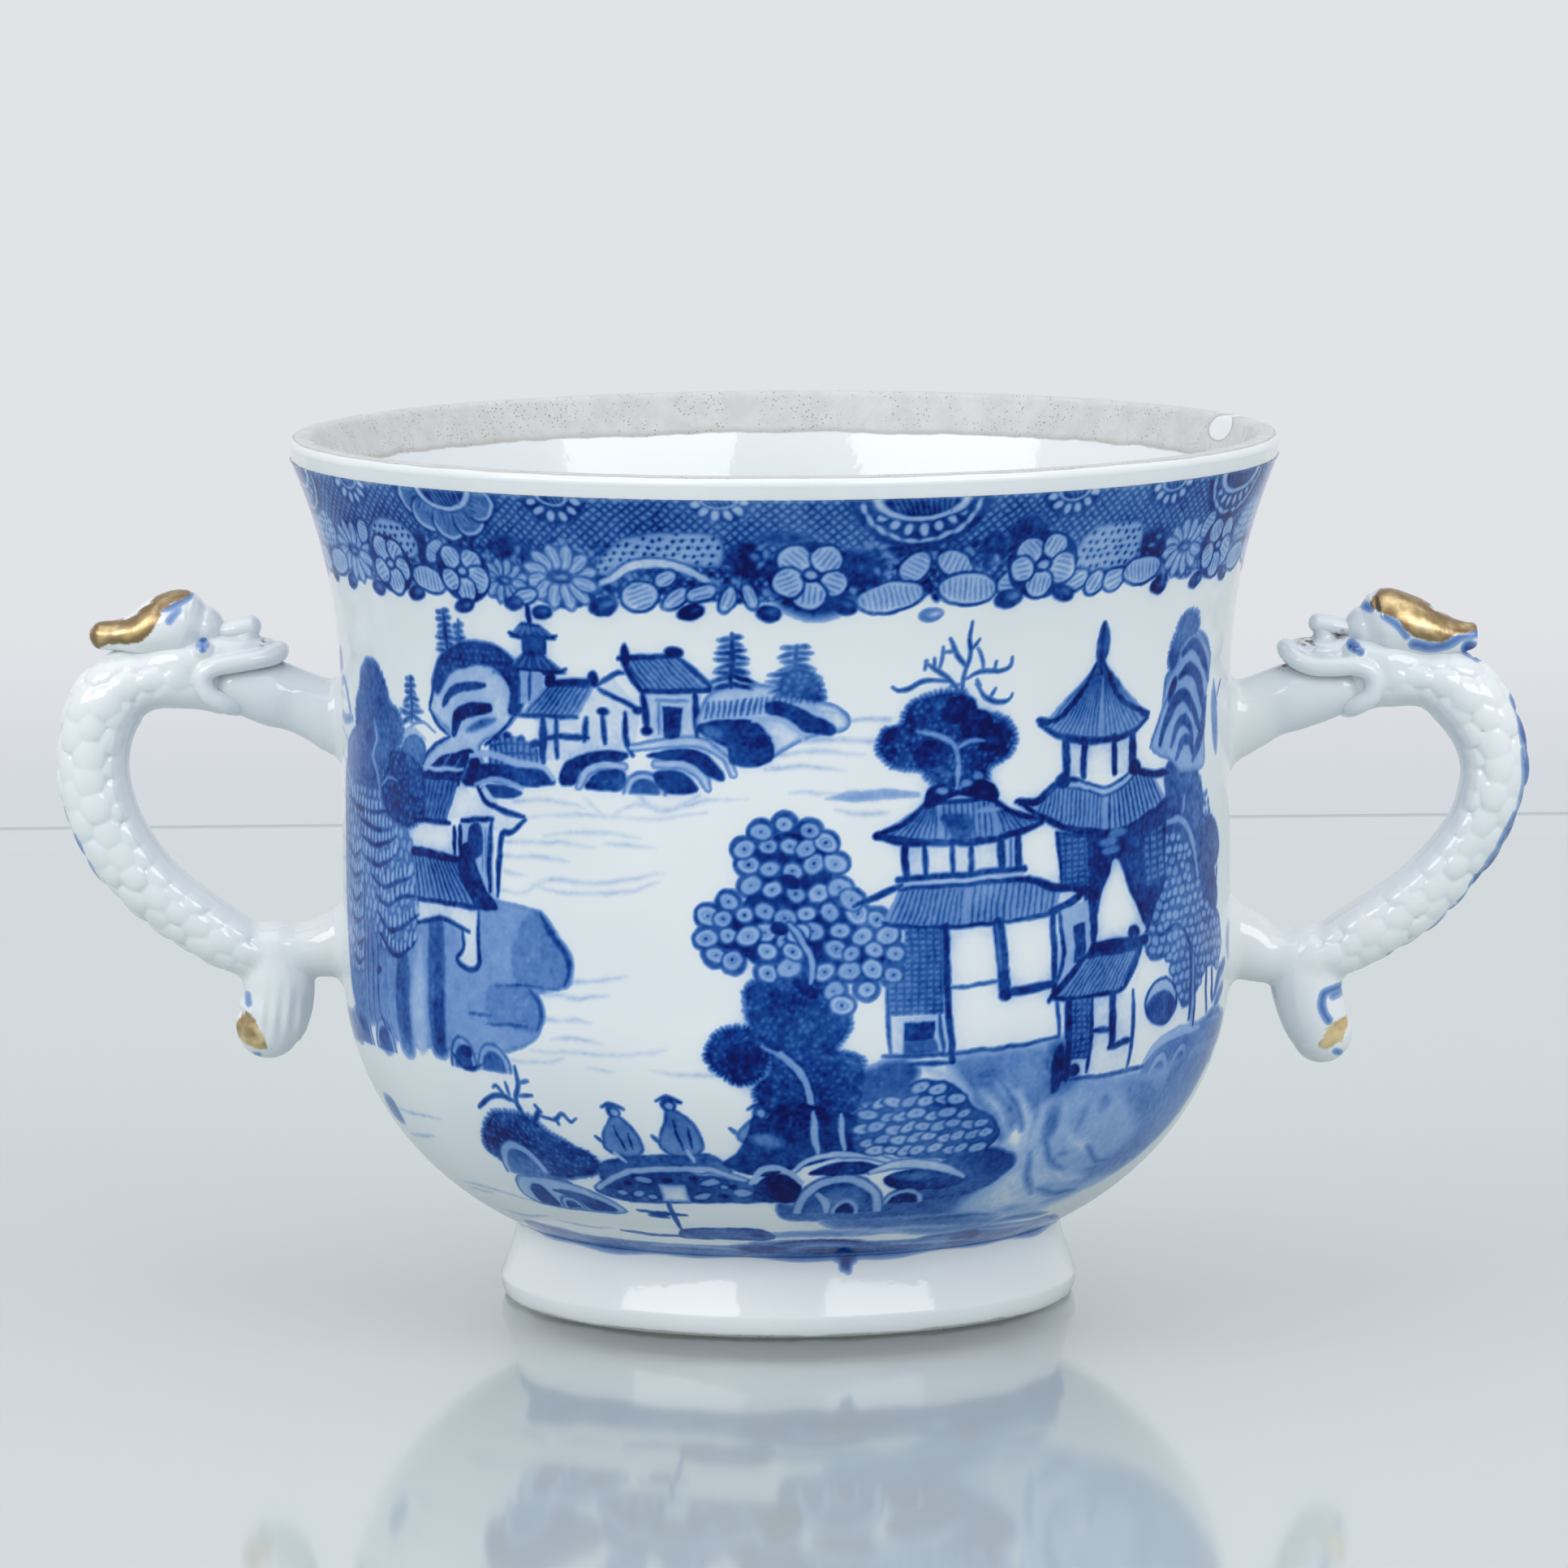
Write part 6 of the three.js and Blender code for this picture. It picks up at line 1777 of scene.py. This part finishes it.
def paint_right_bank(c):
    """Garden seat, pebble-leaved tree, dark clumps and the layered peak near the right handle."""
    c.patch("408,400 430,410 520,400 530,310 500,300 440,286 409,274", 0.02)
    c.wash("434,272 460,296 510,302 580,300 660,294 640,250 600,220 500,214 440,234", 0.42, edge=0.5,
        soft=0.8)
    c.wipe("434,274 460,292 506,298 550,296", 1.0, 0.14)
    for s, wide, high in ((46.8, 4.6, 3.8), (51.2, 4.8, 4.2), (55.8, 5.6, 3.4)):
        c.arch(s, 24.4, wide, high, 0.7, 0.2, 0.7, 0.25, 0.5)
    c.strokes(1.0, 0.5, "570,270 610,280 660,270", "570,248 620,254 650,246", "550,300 600,306 650,296",
        soft=0.7)
    # trees
    c.wash("462,574 480,589 510,591 530,576 546,554 556,534 554,520 580,516 605,500 613,480 602,464 "
        "588,458 604,434 596,416 560,420 520,450 460,480 464,540", 0.64, edge=0.7, soft=0.35)
    for s, t in c.spread("470,490 470,580 520,580 600,490 590,430 530,440", 1.1):
        c.dab(s, t, 0.9, 0.6, c.chance.uniform(0, 180), c.chance.choice([0.76, 0.56]), cut=True, soft=0.4)
    c.pebbled("430,476 460,512 500,510 520,484 550,444 608,410 622,380 606,356 564,358 536,336 504,323 "
        "484,346 468,378 432,384 426,420", 1.32, 1.2, 0.86, 0.22, 0.58, 8, 0.72)
    c.wipe("464,520 490,523 514,509 530,484 539,458", 0.8, 0.22, taper=0.3)
    c.wipe("501,529 505,544", 0.5, 0.26)
    c.strokes(0.6, 0.82, "454,406 488,412 514,394 528,360 531,302", "518,390 520,340 519,310", taper=0.3)
    c.wipe("525,376 526,336 525,306", 0.6, 0.32)
    c.strokes(0.6, 0.74, "564,358 562,330 568,312", "582,354 583,330 588,320", taper=0.3)
    c.strokes(1.1, 0.6, "594,324 610,344 642,354", "600,314 630,330", soft=0.7)
    c.dab(67.6, 37.2, 3.6, 4.2, 70, 0.3, soft=1.2)
    # garden seat
    c.dab(45.7, 33.6, 6.3, 4.9, 0, 0.84, cut=True)
    c.dab(45.7, 33.7, 5.6, 4.2, 0, 0.1, cut=True)
    c.dab(45.7, 33.1, 5.5, 3.3, 0, 0.7, cut=True)
    c.strokes(0.3, 0.86, *[[(k, 34.2), (k + 0.2, 31.8)] for k in np.arange(43.8, 47.9, 0.62)])
    # layered peak
    c.foliage("468,686 470,704 482,728 500,738 518,734 524,718 510,708 490,704 484,690 478,676", 0.68, 0.48)
    c.wash("436,602 454,636 460,664 482,686 494,704 516,712 546,704 570,684 566,656 556,624 558,596 "
        "554,570 500,570 474,584", 0.16, edge=0.42)
    for line, wide, tone in [("494,694 514,702 538,694 559,672 565,660", 1.5, 0.66), ("490,670 508,677 "
        "534,666 552,636 554,620", 1.6, 0.7), ("454,604 466,628 484,646 506,649 528,630 544,608", 1.5,
        0.72), ("475,600 486,618 502,625 518,614 524,600", 1.3, 0.68), ("482,668 474,656 470,648", 1.3,
        0.8), ("435,602 450,626 464,648 486,662", 0.4, 0.62), ("486,586 500,602 516,600 526,584", 1.2,
        0.64), ("524,580 546,604 560,640", 1.6, 0.6), ("460,654 462,670 476,682", 0.4, 0.6), ("526,714 "
        "550,704 570,685", 0.5, 0.55)]:
        c.stroke(line, wide, tone, taper=0.6, soft=0.4)
    c.wash("580,646 594,648 603,616 604,590 596,579 585,600", 0.34, soft=0.8)
    c.strokes(0.5, 0.5, "586,656 594,640 600,630", "616,654 602,640")


def paint_wall(c):
    """The whole wall, from the far distance to the near bank, and the band under the lip last."""
    paint_far_island(c)
    paint_left_bank(c)
    paint_right_bank(c)
    paint_pavilions(c)
    paint_shore(c)
    paint_border(c)
    c.settle()


painting = Canvas(math.pi * WALL_RADIUS, CANVAS_HEIGHT, CANVAS_GRID)
paint_wall(painting)

# Finishes
wall_finish = painted_porcelain()
bowl_finish = biscuit_and_glaze()
handle_finish = gilt_porcelain()


def past_glaze_edge(x, y, z):
    """Millimetres past the line inside the lip where the glaze ends, negative on the glazed side and on
    one splash of glaze at the right."""
    outward = LIP_RADIUS - LIP_ROUND + BARE_LIP - np.hypot(x, y)
    past = np.where(z > LIP_HEIGHT - 20, np.minimum(z - (LIP_HEIGHT - BARE_BAND), outward * 2.5), -3.0)
    turned = np.degrees(np.arctan2(y, x))
    across = (turned - SPLASH_ANGLE) / SPLASH_HALF_ANGLE
    splash = np.hypot(across, (z - LIP_HEIGHT + SPLASH_DEPTH) / SPLASH_HALF_HEIGHT)
    return np.minimum(past, (splash - 1) * 3)


def past_foot_glaze(x, y, z):
    """The same at the foot's lower edge and under it."""
    return np.clip(0.35 - z, -3, 3)


def no_paint(x, y, z):
    return np.zeros(len(x))


def seam_line(x, y, z):
    """Cobalt that ran into the neck of the foot from the wall, deeper in front, with one drip."""
    girth = np.arctan2(x, -y) * FOOT_NECK
    reach = 0.5 + 0.2 * np.sin(girth * 0.23) + 0.14 * np.sin(girth * 0.61 + 1)
    reach = reach + 1.7 * np.exp(-(((girth - 6.0) / 0.7) ** 2))
    depth = 0.56 + 0.2 * np.cos((girth - 6) / 22)
    line = np.clip((z - (SEAT_HEIGHT - reach)) / 0.9, 0, 1)
    return depth * line * (np.hypot(x, y) > FOOT_NECK - 1)


bowl_core = turned_solid(
    "bowl_core", core_profile(), CORE_TURNS, bowl_finish, {"bare": past_glaze_edge, "cobalt": no_paint}
)
stands_for(bowl_core, "painted_glaze", "bowl")
for index in range(PANELS):
    stands_for(painted_panel(index, painting, wall_finish), "painted_glaze", "bowl")
foot = turned_solid(
    "foot_ring_clay",
    foot_profile(),
    FOOT_TURNS,
    bowl_finish,
    {"bare": past_foot_glaze, "cobalt": seam_line},
)
stands_for(foot, "white_glaze", "foot_ring")
for side, shape in (("right", RIGHT_HANDLE), ("left", LEFT_HANDLE)):
    for part in HANDLE_PIECES:
        handle_piece(side, part, shape, handle_finish)

# Camera
camera = bpy.data.objects.new("camera", bpy.data.cameras.new("camera"))
bpy.context.scene.collection.objects.link(camera)
bpy.context.scene.camera = camera
camera.location = (CAMERA_SIDE * MM, -CAMERA_DISTANCE * MM, CAMERA_HEIGHT * MM)
tilt = Matrix.Rotation(math.pi / 2 - CAMERA_PITCH, 3, "X") @ Matrix.Rotation(-CAMERA_ROLL, 3, "Z")
camera.rotation_euler = tilt.to_euler()
camera.data.sensor_width = SENSOR_WIDTH
camera.data.lens = FOCAL_PIXELS / PHOTO_PIXELS * SENSOR_WIDTH
camera.data.clip_start = 0.01
camera.data.clip_end = 100

BACKGROUND = linear(225, 227, 231)


def seen_not_lit(tree, light):
    """Strength of an emission: 1 for what the camera sees, also mirrored or through glass, and another for
    the light that it gives."""
    path = tree.nodes.new("ShaderNodeLightPath")
    seen = path.outputs["Is Camera Ray"]
    for kind in ("Is Glossy Ray", "Is Transmission Ray"):
        either = tree.nodes.new("ShaderNodeMath")
        either.operation = "MAXIMUM"
        tree.links.new(seen, either.inputs[0])
        tree.links.new(path.outputs[kind], either.inputs[1])
        seen = either.outputs[0]
    scale = tree.nodes.new("ShaderNodeMapRange")
    tree.links.new(seen, scale.inputs["Value"])
    scale.inputs["To Min"].default_value = light
    return scale.outputs[0]


WORLD_LIGHT = 0.87
world = bpy.data.worlds.new("studio")
bpy.context.scene.world = world
world.use_nodes = True
glow = world.node_tree.nodes["Background"]
glow.inputs["Color"].default_value = BACKGROUND
world.node_tree.links.new(seen_not_lit(world.node_tree, WORLD_LIGHT), glow.inputs["Strength"])


def over_clear(finish, share, shown, tint=(1, 1, 1, 1)):
    """The shader shown by its share over a clear one of that tint."""
    clear = finish.node("BsdfTransparent", Color=tint)
    mix = finish.node("MixShader")
    for source, socket in zip((share, clear.outputs[0], shown.outputs[0]), mix.inputs):
        finish.join(source, socket)
    finish.join(mix.outputs[0], finish.nodes["Material Output"].inputs["Surface"])
    return finish.material


def shaded_backdrop_finish(name):
    """The backdrop low down, with painted shade: seen a little greyer toward the table, and lighting nothing.
    """
    finish = Finish(name)
    parts = finish.node("SeparateXYZ", Vector=finish.place)
    # Painted shade: the backdrop's colour darkens toward the table.
    height = finish.ramp(parts.outputs["Z"], BACKDROP_SHADE_LOW * MM, BACKDROP_SHADE_HIGH * MM)
    glow = finish.node("Emission", Color=finish.blend(height, linear(212, 217, 223), BACKGROUND))
    return over_clear(finish, finish.node("LightPath").outputs["Is Camera Ray"], glow)


def table_finish(name, colour, roughness):
    """A plain pale board."""
    finish = Finish(name)
    finish.take("Base Color", colour)
    finish.take("Roughness", roughness)
    finish.take("Specular IOR Level", 0.1)
    return finish.material


def pane_finish(name):
    """A clear pane: to the camera it mirrors as much as glass does at each angle, and lets the rest
    through. All other light passes to the board under it."""
    finish = Finish(name)
    share = finish.node("Fresnel", IOR=PANE_INDEX).outputs[0]
    mirror = finish.node("BsdfGlossy", Roughness=0.07, Color=linear(255, 255, 255))
    seen = finish.maths("MULTIPLY", share, finish.node("LightPath").outputs["Is Camera Ray"])
    return over_clear(finish, seen, mirror, linear(250, 252, 251))


def on_table(x, y, z=0):
    """A place of the straight table, once it is turned about Z."""
    across = x * math.cos(TABLE_TURN) - y * math.sin(TABLE_TURN)
    return across, x * math.sin(TABLE_TURN) + y * math.cos(TABLE_TURN), z


def slab(name, low, high, material):
    """A block with flat faces, wound outwards, turned with the table."""
    x, y, z = zip(low, high)
    points = [on_table(x[i], y[j], z[k]) for k in (0, 1) for j in (0, 1) for i in (0, 1)]
    faces = [(0, 2, 3, 1), (4, 5, 7, 6), (0, 1, 5, 4), (2, 6, 7, 3), (0, 4, 6, 2), (1, 3, 7, 5)]
    piece = mesh_piece(name, points, np.ravel(faces), np.full(6, 4), material)
    piece.data.polygons.foreach_set("use_smooth", np.zeros(6, bool))
    return piece


EDGE_DEPTH = 2.4
PANE_DEPTH = 3.3
PANE_INDEX = 1.5
BOARD_BEYOND = 25.0
table_place = (
    ("table_top", TABLE_NEAR_EDGE, TABLE_FAR_EDGE + BOARD_BEYOND, -TABLE_THICKNESS, -PANE_DEPTH,
     table_finish("pale board", linear(196, 203, 204), 0.6)),
    ("table_edge", TABLE_FAR_EDGE - EDGE_DEPTH, TABLE_FAR_EDGE, -0.2, 0,
     table_finish("ground edge of the table", linear(176, 185, 190), 0.5)),
)
for name, near, far, low, high, material in table_place:
    part = slab(name, (-TABLE_HALF_WIDTH, near, low), (TABLE_HALF_WIDTH, far, high), material)
    part.visible_shadow = part.visible_diffuse = name != "table_edge"
PANE_END = TABLE_FAR_EDGE - EDGE_DEPTH
pane_corners = [
    on_table(-TABLE_HALF_WIDTH, TABLE_NEAR_EDGE),
    on_table(TABLE_HALF_WIDTH, TABLE_NEAR_EDGE),
    on_table(TABLE_HALF_WIDTH, PANE_END),
    on_table(-TABLE_HALF_WIDTH, PANE_END),
]
mesh_piece("table_pane", pane_corners, np.arange(4), [4], pane_finish("clear pane"))


def height_at(row, distance):
    """Height that the camera sees at a row of the photograph's pixels, at a distance behind the cup."""
    rise = math.tan((PHOTO_PIXELS / 2 - row) / FOCAL_PIXELS - CAMERA_PITCH)
    return CAMERA_HEIGHT + (CAMERA_DISTANCE + distance) * rise


BACKDROP_DISTANCE = 2500.0
BACKDROP_SHADE_LOW = height_at(1010, BACKDROP_DISTANCE)
BACKDROP_SHADE_HIGH = height_at(750, BACKDROP_DISTANCE)
backdrop_corners = [
    (-TABLE_HALF_WIDTH, BACKDROP_DISTANCE, 2 * BACKDROP_SHADE_LOW),
    (TABLE_HALF_WIDTH, BACKDROP_DISTANCE, 2 * BACKDROP_SHADE_LOW),
    (TABLE_HALF_WIDTH, BACKDROP_DISTANCE, BACKDROP_SHADE_HIGH),
    (-TABLE_HALF_WIDTH, BACKDROP_DISTANCE, BACKDROP_SHADE_HIGH),
]
mesh_piece("low_backdrop", backdrop_corners, np.arange(4), [4], shaded_backdrop_finish("low backdrop"))


def softbox(name, azimuth, elevation, distance, width, height, power, mirrored=True):
    """A rectangular lamp that faces the cup's middle. Azimuth 0 is in front, and grows to the right."""
    lamp = bpy.data.lights.new(name, "AREA")
    lamp.shape = "RECTANGLE"
    lamp.size = width
    lamp.size_y = height
    lamp.energy = power
    place = bpy.data.objects.new(name, lamp)
    place.visible_glossy = mirrored
    bpy.context.scene.collection.objects.link(place)
    a, e = math.radians(azimuth), math.radians(elevation)
    place.location = (
        distance * math.sin(a) * math.cos(e),
        -distance * math.cos(a) * math.cos(e),
        distance * math.sin(e) + LAMPS_LOOK_AT,
    )
    place.rotation_euler = (math.pi / 2 - e, 0, a)


LAMPS_LOOK_AT = 0.045
softbox("left_softbox", -48, 32, 2.2, 1.86, 0.85, 14.5)
softbox("right_softbox", 39.5, 32, 2.2, 1.7, 0.85, 12.5)
softbox("left_fill", -104, 24, 2.2, 1.6, 1.6, 4, mirrored=False)
softbox("right_fill", 104, 24, 2.2, 1.6, 1.6, 4, mirrored=False)
softbox("overhead_softbox", 0, 78, 2.0, 2.3, 2.3, 11)

bpy.context.scene.view_settings.view_transform = "Standard"
